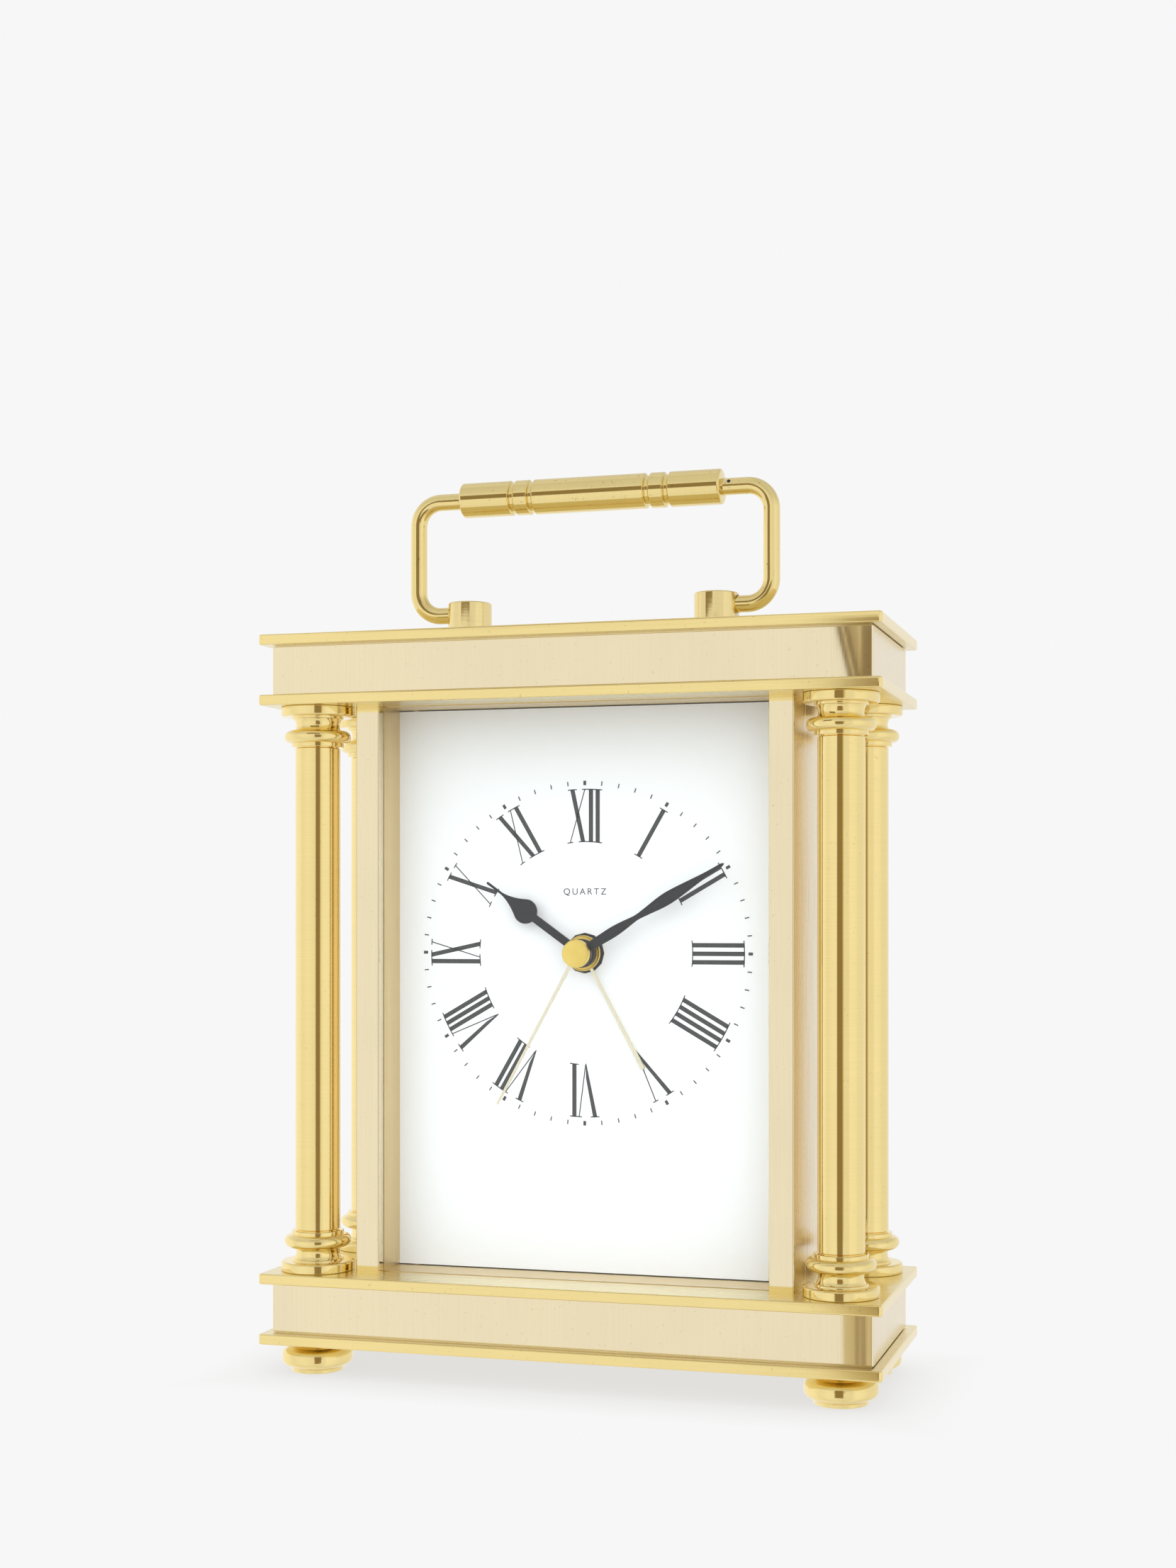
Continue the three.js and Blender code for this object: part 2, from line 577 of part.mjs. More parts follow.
function trainPlateGeometry() {
  const { front, back, halfWidth, bottom, top } = TRAIN_PLATE;
  const outline = withHoles(
    rectangle(-halfWidth, bottom, halfWidth, top),
    circle(...TIME_SET_AT, ARBOR_HOLE_RADIUS), circle(...ALARM_SET_AT, ARBOR_HOLE_RADIUS),
    circle(0, 0, PIVOT_HOLE_RADIUS), circle(...ROTOR_AT, PIVOT_HOLE_RADIUS),
  );
  const stepStud = disc(...STEP_AT, STEP_STUD_RADIUS, LAYER.second - 0.2, front + 0.3, 8);
  return joined(sheet(outline, front, back), stepStud);
}

// A wheel on the centre shaft with the tube that carries its hand.
function tubedWheel(teeth, module, angle, front, tube) {
  const wheel = sheet(gearOutline(teeth, module, angle), ...layerOf(front));
  const pipe = disc(0, 0, tube.radius, tube.tip, front + 0.2, 16);
  return cut(joined(wheel, pipe), disc(0, 0, tube.bore, tube.tip - 1, front + 5, 16));
}

// A wheel and its pinion on one arbor, bored to turn on a stud.
function studWheel(at, wheel, pinion, bore) {
  const front = Math.min(wheel.front, pinion.front);
  const back = Math.max(wheel.front, pinion.front) + WHEEL_SHEET;
  const gears = [wheel, pinion].map(({ teeth, module, angle, front: layer }) =>
    sheet(gearOutline(teeth, module, angle, ...at), ...layerOf(layer)));
  const sleeve = disc(...at, bore + 0.2, front, back, 10);
  return cut(joined(...gears, sleeve), disc(...at, bore, front - 1, back + 1, 10));
}

// The cannon pinion carries the minute hand. It grips the centre wheel by friction only, so the
// hands can be set while the going train stands still.
function motionWorks(parent) {
  const cannonAngle = 0;
  const leaves = gearOutline(TEETH.cannonPinion, MOTION_MODULE, cannonAngle);
  const cannon = sheet(leaves, ...layerOf(LAYER.motion));
  const pipeEnd = LAYER.centre + WHEEL_SHEET + 0.1;
  const pipe = disc(0, 0, STACK.minute.radius, STACK.minute.tip, pipeEnd, 16);
  const bore = disc(0, 0, STACK.minute.bore, STACK.minute.tip - 1, pipeEnd + 1, 16);
  place(parent, 'cannon_pinion', cut(joined(cannon, pipe), bore), STEEL());
  const motionAngle = meshAngle(TEETH.cannonPinion, cannonAngle, [0, 0], MOTION_AT, TEETH.motionWheel);
  const hourAngle = meshAngle(TEETH.motionPinion, motionAngle, MOTION_AT, [0, 0], TEETH.hourWheel);
  const hourWheel = tubedWheel(TEETH.hourWheel, MOTION_MODULE, hourAngle, LAYER.hour, STACK.hour);
  place(parent, 'hour_wheel', hourWheel, WHEEL_PLASTIC());
  place(parent, 'motion_wheel', studWheel(
    MOTION_AT,
    { teeth: TEETH.motionWheel, module: MOTION_MODULE, angle: motionAngle, front: LAYER.motion },
    { teeth: TEETH.motionPinion, module: MOTION_MODULE, angle: motionAngle, front: LAYER.hour },
    ARBOR_RADIUS + BORE_PLAY,
  ), WHEEL_PLASTIC());
  const knobAngle = meshAngle(TEETH.motionWheel, motionAngle, MOTION_AT, TIME_SET_AT, TEETH.timeSetPinion);
  const knob = settingKnob(
    TIME_SET_AT, { teeth: TEETH.timeSetPinion, angle: knobAngle, front: LAYER.motion },
    KNOB.timeRadius, KNOB.timeEnd,
  );
  place(parent, 'time_set_knob', knob, BLACK_PLASTIC());
}

const PIVOT_END = TRAIN_PLATE.back - 0.1;

function goingTrain(parent) {
  const centreAngle = 0;
  const thirdAngle = meshAngle(TEETH.centreWheel, centreAngle, [0, 0], THIRD_AT, TEETH.pinion);
  const secondPinionAngle = meshAngle(TEETH.thirdWheel, thirdAngle, THIRD_AT, [0, 0], TEETH.pinion);
  const secondWheelAngle = 0;
  const stepPinionAngle = meshAngle(TEETH.secondWheel, secondWheelAngle, [0, 0], STEP_AT, TEETH.pinion);
  const rotorAngle = meshAngle(TEETH.stepWheel, stepPinionAngle, STEP_AT, ROTOR_AT, TEETH.pinion);
  const wheel = withHoles(
    gearOutline(TEETH.centreWheel, CENTRE_MODULE, centreAngle),
    circle(0, 0, STACK.minute.radius + HUB_CLEARANCE),
  );
  place(parent, 'centre_wheel', sheet(wheel, ...layerOf(LAYER.centre)), WHEEL_PLASTIC());
  place(parent, 'third_wheel', studWheel(
    THIRD_AT,
    { teeth: TEETH.thirdWheel, module: THIRD_MODULE, angle: thirdAngle, front: LAYER.third },
    { teeth: TEETH.pinion, module: CENTRE_MODULE, angle: thirdAngle, front: LAYER.centre },
    PIVOT_RADIUS + BORE_PLAY,
  ), WHEEL_PLASTIC());
  place(parent, 'second_wheel', joined(
    sheet(gearOutline(TEETH.secondWheel, SECOND_MODULE, secondWheelAngle), ...layerOf(LAYER.second)),
    sheet(gearOutline(TEETH.pinion, THIRD_MODULE, secondPinionAngle), LAYER.third, LAYER.second + 0.2),
    disc(0, 0, STACK.second.radius, STACK.second.tip, LAYER.second + 2, 12),
    disc(0, 0, PIVOT_RADIUS, LAYER.second + 1.8, PIVOT_END, 8),
  ), WHEEL_PLASTIC());
  place(parent, 'step_wheel', studWheel(
    STEP_AT,
    { teeth: TEETH.stepWheel, module: STEP_MODULE, angle: stepPinionAngle, front: LAYER.step },
    { teeth: TEETH.pinion, module: SECOND_MODULE, angle: stepPinionAngle, front: LAYER.second },
    STEP_STUD_RADIUS + BORE_PLAY,
  ), WHEEL_PLASTIC());
  const magnetRadius = 1.6;
  place(parent, 'rotor', joined(
    disc(...ROTOR_AT, magnetRadius, STATOR.front - 0.1, STATOR.back + 0.1, 12),
    disc(...ROTOR_AT, PIVOT_RADIUS, STATOR.front - 0.3, PIVOT_END, 8),
    sheet(gearOutline(TEETH.pinion, STEP_MODULE, rotorAngle, ...ROTOR_AT), ...layerOf(LAYER.step)),
  ), STEEL());
}

function alarmWorks(parent) {
  const wheelAngle = 0;
  const knobAngle = meshAngle(TEETH.alarmWheel, wheelAngle, [0, 0], ALARM_SET_AT, TEETH.alarmSetPinion);
  const wheel = tubedWheel(TEETH.alarmWheel, MOTION_MODULE, wheelAngle, LAYER.alarm, STACK.alarm);
  place(parent, 'alarm_wheel', wheel, WHEEL_PLASTIC());
  const knob = settingKnob(
    ALARM_SET_AT, { teeth: TEETH.alarmSetPinion, angle: knobAngle, front: LAYER.alarm },
    KNOB.alarmRadius, KNOB.alarmEnd,
  );
  place(parent, 'alarm_set_knob', knob, BLACK_PLASTIC());
  const { x, z, neckWidth, neckHeight } = SWITCH;
  const flangeFront = MOVEMENT.back - MOVEMENT.coverSheet - 0.8;
  const block = (halfWidth, halfHeight, front, back) =>
    sheet(rectangle(x - halfWidth, z - halfHeight, x + halfWidth, z + halfHeight), front, back);
  place(parent, 'alarm_switch', joined(
    block(4.4, 2, flangeFront, flangeFront + 0.6),
    block(neckWidth / 2, neckHeight / 2, flangeFront + 0.3, MOVEMENT.back + 0.6),
    block(2, 1.9, MOVEMENT.back + 0.3, MOVEMENT.back + 1.6),
  ), BLACK_PLASTIC());
}

// A fluted knob behind the cover, on an arbor that ends in a pinion.
function settingKnob(at, pinion, radius, end) {
  const outline = new THREE.Shape();
  for (let corner = 0; corner < 2 * KNOB.flutes; corner += 1) {
    const turn = corner * Math.PI / KNOB.flutes;
    const reach = corner % 2 === 0 ? radius : radius - KNOB.fluteDepth;
    const point = [at[0] + reach * Math.cos(turn), at[1] + reach * Math.sin(turn)];
    if (corner === 0) outline.moveTo(...point);
    else outline.lineTo(...point);
  }
  outline.closePath();
  return joined(
    sheet(outline, MOVEMENT.back + 0.3, end),
    disc(...at, ARBOR_RADIUS, pinion.front, MOVEMENT.back + 0.6, 8),
    sheet(gearOutline(pinion.teeth, MOTION_MODULE, pinion.angle, ...at), ...layerOf(pinion.front)),
  );
}

// Stator yoke: a bar round the rotor and two legs that reach the ends of the coil.
function statorGeometry() {
  const { left, right, barBottom, barTop, legTop, legWidth, front, back, rotorHole } = STATOR;
  const shape = new THREE.Shape();
  shape.moveTo(left, barBottom).lineTo(right, barBottom).lineTo(right, legTop);
  shape.lineTo(right - legWidth, legTop).lineTo(right - legWidth, barTop);
  shape.lineTo(left + legWidth, barTop).lineTo(left + legWidth, legTop).lineTo(left, legTop).closePath();
  withHoles(shape, circle(...ROTOR_AT, rotorHole));
  return sheet(shape, front, back, 8);
}

function coilGeometry() {
  const { start, end, flange, flangeRadius, windingRadius, y, z } = COIL;
  return turnedAlongX([
    [0, start], [flangeRadius, start], [flangeRadius, start + flange], [windingRadius, start + flange],
    [windingRadius, end - flange], [flangeRadius, end - flange], [flangeRadius, end], [0, end],
  ], 14).translate(0, y, z);
}

function boardGeometry() {
  const outline = rectangle(BOARD.left, BOARD.bottom, BOARD.right, BOARD.top);
  const chip = disc(CHIP.x, CHIP.z, CHIP.radius, BOARD.back - 0.2, BOARD.back + CHIP.height, 10);
  return joined(sheet(outline, BOARD.back - BOARD.sheet, BOARD.back), chip);
}

function sounderGeometry() {
  const { x, z, radius, height } = SOUNDER;
  return disc(x, z, radius, BOARD.back, BOARD.back + height, 20);
}

// A blade across the end of the battery bay, with its inner and outer faces at x0 and x1.
function contactBlade(x0, x1) {
  const { halfWidth, front, back } = CONTACT;
  return sheet(rectangle(x0, BATTERY.z - halfWidth, x1, BATTERY.z + halfWidth), front, back);
}

const CONTACT_AT = (BATTERY.bodyLength + BATTERY.nubLength) / 2 + CONTACT.gap;

// Flat blade against the battery's nub.
const positiveContact = () => contactBlade(CONTACT_AT, CONTACT_AT + CONTACT.sheet);

// Blade with a conical spring against the battery's flat end.
function negativeContact() {
  const { springBase, springTip, sheet: thickness } = CONTACT;
  const springLength = 0.6;
  const bladeFace = -CONTACT_AT - springLength + 0.1;
  const springStart = -CONTACT_AT - springLength;
  const spring = turnedAlongX([
    [0, springStart], [springBase, springStart], [springTip, -CONTACT_AT], [0, -CONTACT_AT],
  ], 12);
  const blade = contactBlade(bladeFace - thickness, bladeFace);
  return joined(blade, spring.translate(0, BATTERY.y, BATTERY.z));
}

function batteryGeometry() {
  const { radius, bodyLength, nubRadius, nubLength, y, z } = BATTERY;
  const start = -(bodyLength + nubLength) / 2;
  const shoulder = start + bodyLength;
  return turnedAlongX([
    [0, start], [radius, start], [radius, shoulder], [nubRadius, shoulder],
    [nubRadius, shoulder + nubLength], [0, shoulder + nubLength],
  ], 24).translate(0, y, z);
}

function addMovement(parent) {
  const movement = new THREE.Group();
  movement.position.z = SHAFT_HEIGHT;
  parent.add(movement);
  place(movement, 'movement_housing', housingGeometry(), BLACK_PLASTIC());
  place(movement, 'movement_cover', coverGeometry(), BLACK_PLASTIC());
  place(movement, 'train_plate', trainPlateGeometry(), WHEEL_PLASTIC());
  alarmWorks(movement);
  motionWorks(movement);
  goingTrain(movement);
  place(movement, 'stator', statorGeometry(), STEEL());
  place(movement, 'coil', coilGeometry(), COPPER());
  place(movement, 'circuit_board', boardGeometry(), BOARD_GREEN());
  place(movement, 'sounder', sounderGeometry(), BLACK_PLASTIC());
  place(movement, 'contact_positive', positiveContact(), STEEL());
  place(movement, 'contact_negative', negativeContact(), STEEL());
  place(movement, 'battery', batteryGeometry(), CELL_JACKET());
  addHands(movement);
}

// ---------------------------------------------------------------- assembly

const clock = new THREE.Group();
addCase(clock);
addColumns(clock);
addHandle(clock);
addMovement(clock);

export default clock;
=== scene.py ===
"""Looks of the brass mantel clock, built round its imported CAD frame. Lengths are in millimetres until
a mesh is written, which turns them into metres."""
import json
import math

import bmesh
import bpy
from mathutils import Matrix, Vector


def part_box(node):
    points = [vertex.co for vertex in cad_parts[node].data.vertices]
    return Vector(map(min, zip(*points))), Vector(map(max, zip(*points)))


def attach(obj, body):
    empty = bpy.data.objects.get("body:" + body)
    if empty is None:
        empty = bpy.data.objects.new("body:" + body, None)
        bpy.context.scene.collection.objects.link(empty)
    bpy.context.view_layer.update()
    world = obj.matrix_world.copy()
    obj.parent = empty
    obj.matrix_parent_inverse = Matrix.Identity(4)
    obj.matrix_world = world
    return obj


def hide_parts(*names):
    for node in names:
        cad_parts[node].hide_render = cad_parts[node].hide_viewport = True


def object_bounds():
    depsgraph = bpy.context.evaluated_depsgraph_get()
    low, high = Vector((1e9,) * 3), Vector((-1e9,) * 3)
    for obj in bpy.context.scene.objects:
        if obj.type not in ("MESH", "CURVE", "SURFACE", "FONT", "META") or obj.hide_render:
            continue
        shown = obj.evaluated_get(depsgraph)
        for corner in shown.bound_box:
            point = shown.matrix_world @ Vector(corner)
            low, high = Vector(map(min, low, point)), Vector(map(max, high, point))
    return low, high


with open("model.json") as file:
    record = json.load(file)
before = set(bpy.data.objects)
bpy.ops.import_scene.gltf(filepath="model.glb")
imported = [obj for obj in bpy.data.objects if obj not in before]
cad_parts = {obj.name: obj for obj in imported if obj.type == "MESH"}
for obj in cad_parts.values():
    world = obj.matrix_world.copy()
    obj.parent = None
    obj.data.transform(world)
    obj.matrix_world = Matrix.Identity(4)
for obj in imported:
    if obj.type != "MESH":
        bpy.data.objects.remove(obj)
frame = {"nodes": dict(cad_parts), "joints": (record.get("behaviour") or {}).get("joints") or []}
CAD_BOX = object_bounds()
MM = 0.001
SCENE = bpy.context.scene

# ---- places from the frame


def node_box(node):
    """Lowest and highest corners of a CAD node, in millimetres."""
    low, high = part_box(node)
    return low / MM, high / MM


def node_middle(node):
    low, high = node_box(node)
    return (low + high) / 2


def joint_place(name):
    """The point a joint turns about, in millimetres."""
    joint = next(j for j in frame["joints"] if j["name"] == name)
    return Vector(joint["pos_m"]) / MM


SHAFT_Z = joint_place("second_spin").z
FOLD_Z = joint_place("handle_fold").z
DIAL_FACE = node_box("dial_plate")[0].y
CORNERS = ("front_left", "front_right", "rear_left", "rear_right")
SIDES = ((-1, "left"), (1, "right"))
HAND_DEGREES = {"hour": 305.5, "minute": 59.2, "second": 208.8, "alarm": 151.5}

# ---- outlines


def fillet(corners, steps=4):
    """A closed outline whose (x, y, radius) corners are rounded by arcs."""
    points = []
    for index, (x, y, radius) in enumerate(corners):
        here = Vector((x, y))
        if radius == 0:
            points.append(here)
            continue
        before = (Vector(corners[index - 1][:2]) - here).normalized()
        after = (Vector(corners[(index + 1) % len(corners)][:2]) - here).normalized()
        half = before.angle(after) / 2
        centre = here + (before + after).normalized() * radius / math.sin(half)
        spoke = here + before * radius / math.tan(half) - centre
        turn = math.copysign(math.pi - 2 * half, before.cross(after) * -1)
        for step in range(steps + 1):
            points.append(centre + Matrix.Rotation(turn * step / steps, 2) @ spoke)
    return [(p.x, p.y) for p in points]


def arc(x, y, radius, start, end, steps):
    """Points on a circle about (x, y) between two angles in degrees."""
    turns = (math.radians(start + (end - start) * step / steps) for step in range(steps + 1))
    return [(x + radius * math.cos(turn), y + radius * math.sin(turn)) for turn in turns]


def smooth_curve(stations, steps=6):
    """A Catmull-Rom curve through stations."""
    curve = []
    last = len(stations) - 1
    for index in range(last):
        a, b, c, d = (Vector(stations[min(max(index + k, 0), last)]) for k in (-1, 0, 1, 2))
        for step in range(steps):
            t = step / steps
            curve.append((2 * b + (c - a) * t + (2 * a - 5 * b + 4 * c - d) * t ** 2
                          + (3 * b - a - 3 * c + d) * t ** 3) / 2)
    return [(p.x, p.y) for p in curve] + [tuple(stations[-1])]


def rectangle(x0, x1, y0, y1, corner):
    """A function from an inset to a rounded rectangle."""
    def outline(inset):
        radius = max(corner - inset, 0.02)
        left, right, front, back = x0 + inset, x1 - inset, y0 + inset, y1 - inset
        centres = ((right - radius, back - radius, 0), (left + radius, back - radius, 90),
                   (left + radius, front + radius, 180), (right - radius, front + radius, 270))
        points = []
        for x, y, start in centres:
            points += arc(x, y, radius, start, start + 90, 5)
        return points
    return outline


# ---- meshes

UPRIGHT = Matrix.Identity(3)
ALONG_X = Matrix(((0, 0, 1), (0, 1, 0), (-1, 0, 0)))
ALONG_Y = Matrix(((1, 0, 0), (0, 0, 1), (0, 1, 0)))


def with_values(thing, **values):
    """Sets attributes of a thing and hands it back."""
    for key, value in values.items():
        setattr(thing, key, value)
    return thing


def to_mesh(name, bm):
    """Writes a bmesh in millimetres as a mesh in metres."""
    bmesh.ops.scale(bm, vec=(MM, MM, MM), verts=bm.verts)
    mesh = bpy.data.meshes.new(name)
    bm.to_mesh(mesh)
    bm.free()
    return mesh


def new_object(name, data):
    made = bpy.data.objects.new(name, data)
    SCENE.collection.objects.link(made)
    return made


def new_piece(name, bm, material, body, replaced=(), sharp=35):
    """Turns a bmesh in millimetres into a named piece that rides on a body and carries its material."""
    bmesh.ops.remove_doubles(bm, verts=bm.verts, dist=1e-5)
    bmesh.ops.recalc_face_normals(bm, faces=bm.faces)
    mesh = to_mesh(name, bm)
    mesh.materials.append(material)
    mesh.shade_smooth()
    mesh.set_sharp_from_angle(angle=math.radians(sharp))
    piece = new_object(name, mesh)
    piece.modifiers.new("even_normals", "WEIGHTED_NORMAL").keep_sharp = True
    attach(piece, body)
    if replaced:
        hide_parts(*replaced)
    return piece


def paint_faces(piece, material, wanted):
    """Gives another material to the faces that pass a test."""
    piece.data.materials.append(material)
    for face in piece.data.polygons:
        if wanted(face):
            face.material_index = len(piece.data.materials) - 1


def loft(bm, loops, closed=False):
    """Skins loops that hold equal numbers of points, and caps both ends unless closed."""
    rings = [[bm.verts.new(point) for point in loop] for loop in loops]
    pairs = list(zip(rings, rings[1:]))
    if closed:
        pairs.append((rings[-1], rings[0]))
    for low, high in pairs:
        for index in range(len(low)):
            after = (index + 1) % len(low)
            bm.faces.new((low[index], low[after], high[after], high[index]))
    if not closed:
        bm.faces.new(rings[0])
        bm.faces.new(rings[-1])
    return bm


def slab(outline, low, high, edge, wall=None, turn=UPRIGHT, bm=None, steps=3, seam=0.0):
    """A slab with rounded rims. outline(inset) gives its plan; wall makes it a hollow frame, and
    seam leaves a narrow shadow gap at both rims."""
    rims = [(0.5, low)] if seam else []
    bottom, low = low, low + seam
    if seam:
        rims.append((0.5, low))
    for step in range(steps + 1):
        angle = math.radians(90 * step / steps)
        rims.append((edge * (1 - math.sin(angle)), low + edge * (1 - math.cos(angle))))
    rims += [(inset, bottom + high - level) for inset, level in reversed(rims)]
    if wall:
        rims += [(wall, high), (wall, bottom)]
    loops = [[turn @ Vector((x, y, level)) for x, y in outline(inset)] for inset, level in rims]
    return loft(bm or bmesh.new(), loops, closed=bool(wall))


def node_slab(node, corner, edge, **choices):
    """A slab as large as a CAD node."""
    low, high = node_box(node)
    return slab(rectangle(low.x, high.x, low.y, high.y, corner), low.z, high.z, edge, **choices)


def lathe(profile, sides=64, centre=(0, 0, 0), turn=UPRIGHT, closed=False, bm=None, flutes=None):
    """Turns a profile of (radius, height) points about an axis through centre."""
    bm = bm or bmesh.new()
    centre = Vector(centre)
    rings = []
    for radius, height in profile:
        if radius < 1e-6:
            rings.append([bm.verts.new(centre + turn @ Vector((0, 0, height)))])
            continue
        ring = []
        for side in range(sides):
            angle = 2 * math.pi * side / sides
            reach = radius if flutes is None else flutes(angle, radius)
            spot = Vector((reach * math.cos(angle), reach * math.sin(angle), height))
            ring.append(bm.verts.new(centre + turn @ spot))
        rings.append(ring)
    pairs = list(zip(rings, rings[1:]))
    if closed:
        pairs.append((rings[-1], rings[0]))
    for low, high in pairs:
        for index in range(sides):
            after = (index + 1) % sides
            corners = [low[index % len(low)], low[after % len(low)],
                       high[after % len(high)], high[index % len(high)]]
            bm.faces.new(list(dict.fromkeys(corners)))
    return bm


def flat_plate(points, front, back, bm, rim=0.0):
    """Adds a thin plate in the front plane, with its front edges eased by rim."""
    side = -1 if area(points) < 0 else 1
    layers = [(front, rim), (front + rim, 0), (back, 0)] if rim else [(front, 0), (back, 0)]
    loops = []
    for y, inset in layers:
        loop = []
        for index, point in enumerate(points):
            here = Vector(point)
            along = Vector(points[(index + 1) % len(points)]) - Vector(points[index - 1])
            inward = Vector((-along.y, along.x)).normalized() * side
            moved = here + inward * inset
            loop.append((moved.x, y, moved.y))
        loops.append(loop)
    loft(bm, loops)


def area(points):
    """The signed area of an outline, positive when it runs anticlockwise."""
    pairs = zip(points, points[1:] + points[:1])
    return sum(x0 * y1 - x1 * y0 for (x0, y0), (x1, y1) in pairs) / 2


def rod(bm, path, radius, sides=12):
    """A round rod along a path of points, with flat ends."""
    points = [Vector(p) for p in path]
    loops = []
    side = None
    for index, point in enumerate(points):
        ahead = points[min(index + 1, len(points) - 1)] - points[max(index - 1, 0)]
        ahead.normalize()
        if side is None:
            side = ahead.orthogonal().normalized()
        side = (side - ahead * side.dot(ahead)).normalized()
        other = ahead.cross(side)
        turns = [2 * math.pi * k / sides for k in range(sides)]
        loops.append([point + (side * math.cos(t) + other * math.sin(t)) * radius for t in turns])
    return loft(bm, loops)


# ---- materials


# Colour sockets of a Mix node
MIX_A, MIX_B, MIX_RESULT = 6, 7, 2


def add_node(tree, kind, **values):
    return with_values(tree.nodes.new(kind), **values)


class Finish:
    """A Principled material with helpers for the patterns that vary it."""

    def __init__(self, name, colour, roughness, metallic=0.0, **sockets):
        self.material = bpy.data.materials.new(name)
        self.material.use_nodes = True
        self.tree = self.material.node_tree
        self.shader = self.tree.nodes["Principled BSDF"]
        self.colour = colour
        self.shader.inputs["Base Color"].default_value = (*colour, 1)
        self.shader.inputs["Roughness"].default_value = roughness
        self.shader.inputs["Metallic"].default_value = metallic
        for socket, value in sockets.items():
            self.shader.inputs[socket.replace("_", " ")].default_value = value

    def node(self, kind, **values):
        return add_node(self.tree, kind, **values)

    def link(self, source, target):
        self.tree.links.new(source, target)

    def noise(self, scale, detail=3.0, stretch=(1, 1, 1)):
        """A noise pattern in object space, with scale in features per metre."""
        place = self.node("ShaderNodeTexCoord")
        mapping = self.node("ShaderNodeMapping")
        mapping.inputs["Scale"].default_value = [scale * k for k in stretch]
        pattern = self.node("ShaderNodeTexNoise")
        pattern.inputs["Scale"].default_value = 1
        pattern.inputs["Detail"].default_value = detail
        self.link(place.outputs["Object"], mapping.inputs["Vector"])
        self.link(mapping.outputs["Vector"], pattern.inputs["Vector"])
        return pattern.outputs["Fac"]

    def spread(self, value, low, high, to_low=0.0, to_high=1.0):
        """Stretches part of a pattern's range onto another."""
        node = self.node("ShaderNodeMapRange")
        for socket, number in zip(("From Min", "From Max", "To Min", "To Max"),
                                  (low, high, to_low, to_high)):
            node.inputs[socket].default_value = number
        self.link(value, node.inputs["Value"])
        return node.outputs["Result"]

    def tint(self, share, colour):
        """Mixes another colour into the base colour by a share."""
        mix = self.node("ShaderNodeMix", data_type="RGBA")
        base = self.shader.inputs["Base Color"]
        if base.is_linked:
            self.link(base.links[0].from_socket, mix.inputs[MIX_A])
        else:
            mix.inputs[MIX_A].default_value = (*self.colour, 1)
        mix.inputs[MIX_B].default_value = (*colour, 1)
        self.link(share, mix.inputs["Factor"])
        self.link(mix.outputs[MIX_RESULT], base)

    def rough(self, value):
        self.link(value, self.shader.inputs["Roughness"])

    def bump(self, value, strength, depth):
        """Bumps the surface; depth is in millimetres."""
        node = self.node("ShaderNodeBump")
        node.inputs["Strength"].default_value = strength
        node.inputs["Distance"].default_value = depth * MM
        normal = self.shader.inputs["Normal"]
        if normal.is_linked:
            self.link(normal.links[0].from_socket, node.inputs["Normal"])
        self.link(value, node.inputs["Height"])
        self.link(node.outputs["Normal"], normal)


def calculate(tree, operation, *values):
    """The result of a math node on sockets or plain numbers."""
    node = add_node(tree, "ShaderNodeMath", operation=operation)
    for socket, value in zip(node.inputs, values):
        if isinstance(value, (int, float)):
            socket.default_value = value
        else:
            tree.links.new(value, socket)
    return node.outputs[0]


def shade(colour, amount):
    """A colour made darker or lighter."""
    return tuple(min(1.0, c * amount) for c in colour)


def brass(name, colour, roughness, lines, line_depth, wear=0.5):
    """Lacquered brass: polishing lines along one direction, faint clouding and a few tiny specks."""
    made = Finish(name, colour, roughness, 1.0, Coat_Weight=0.25, Coat_Roughness=0.05)
    cloud = made.noise(70, 2)
    made.tint(made.spread(cloud, 0.35, 0.7), shade(colour, 0.97))
    grain = made.noise(1, 2, lines)
    made.tint(made.spread(grain, 0.35, 0.75, 0, 0.5), shade(colour, 0.93))
    specks = made.noise(1500, 1)
    made.tint(made.spread(specks, 0.70, 0.78, 0, wear), (0.36, 0.25, 0.09))
    made.rough(made.spread(grain, 0.3, 0.75, roughness * 0.8, roughness * 1.35))
    made.bump(grain, 0.5, line_depth)
    return made.material


def grained(made, grain, shadow, tint_range, rough_range, bump=()):
    """Lets one pattern vary a finish's tint, roughness and, by a strength and depth, its height."""
    made.tint(made.spread(grain, *tint_range), shadow)
    made.rough(made.spread(grain, 0.3, 0.7, *rough_range))
    if bump:
        made.bump(grain, *bump)
    return made.material


POLISHED = (0.915, 0.735, 0.32)
ROD = (0.88, 0.71, 0.31)
SATIN = (0.865, 0.75, 0.50)
RINGS_ROUND_Z = (150, 150, 5200)
RINGS_ROUND_X = (5200, 150, 150)
LINES_ALONG_X = (60, 4200, 4200)
LINES_ALONG_Z = (4200, 4200, 60)


def dial_enamel():
    made = Finish("dial_enamel", (0.92, 0.94, 0.975), 0.5)
    grain = made.noise(2600, 2)
    made.tint(made.spread(made.noise(25, 1), 0.3, 0.7, 0, 0.5), (0.94, 0.955, 0.975))
    made.rough(made.spread(grain, 0.3, 0.7, 0.42, 0.58))
    made.bump(grain, 0.15, 0.004)
    return made.material


def print_ink():
    made = Finish("print_ink", (0.042, 0.042, 0.046), 0.6)
    return grained(made, made.noise(3000, 2), (0.065, 0.062, 0.066), (0.45, 0.7, 0, 0.6), (0.5, 0.7))


def hand_paint():
    made = Finish("hand_paint", (0.013, 0.013, 0.016), 0.4, Specular_IOR_Level=0.3)
    return grained(made, made.noise(1800, 3), (0.024, 0.024, 0.027), (0.4, 0.75, 0, 0.7), (0.34, 0.46),
                   (0.3, 0.006))


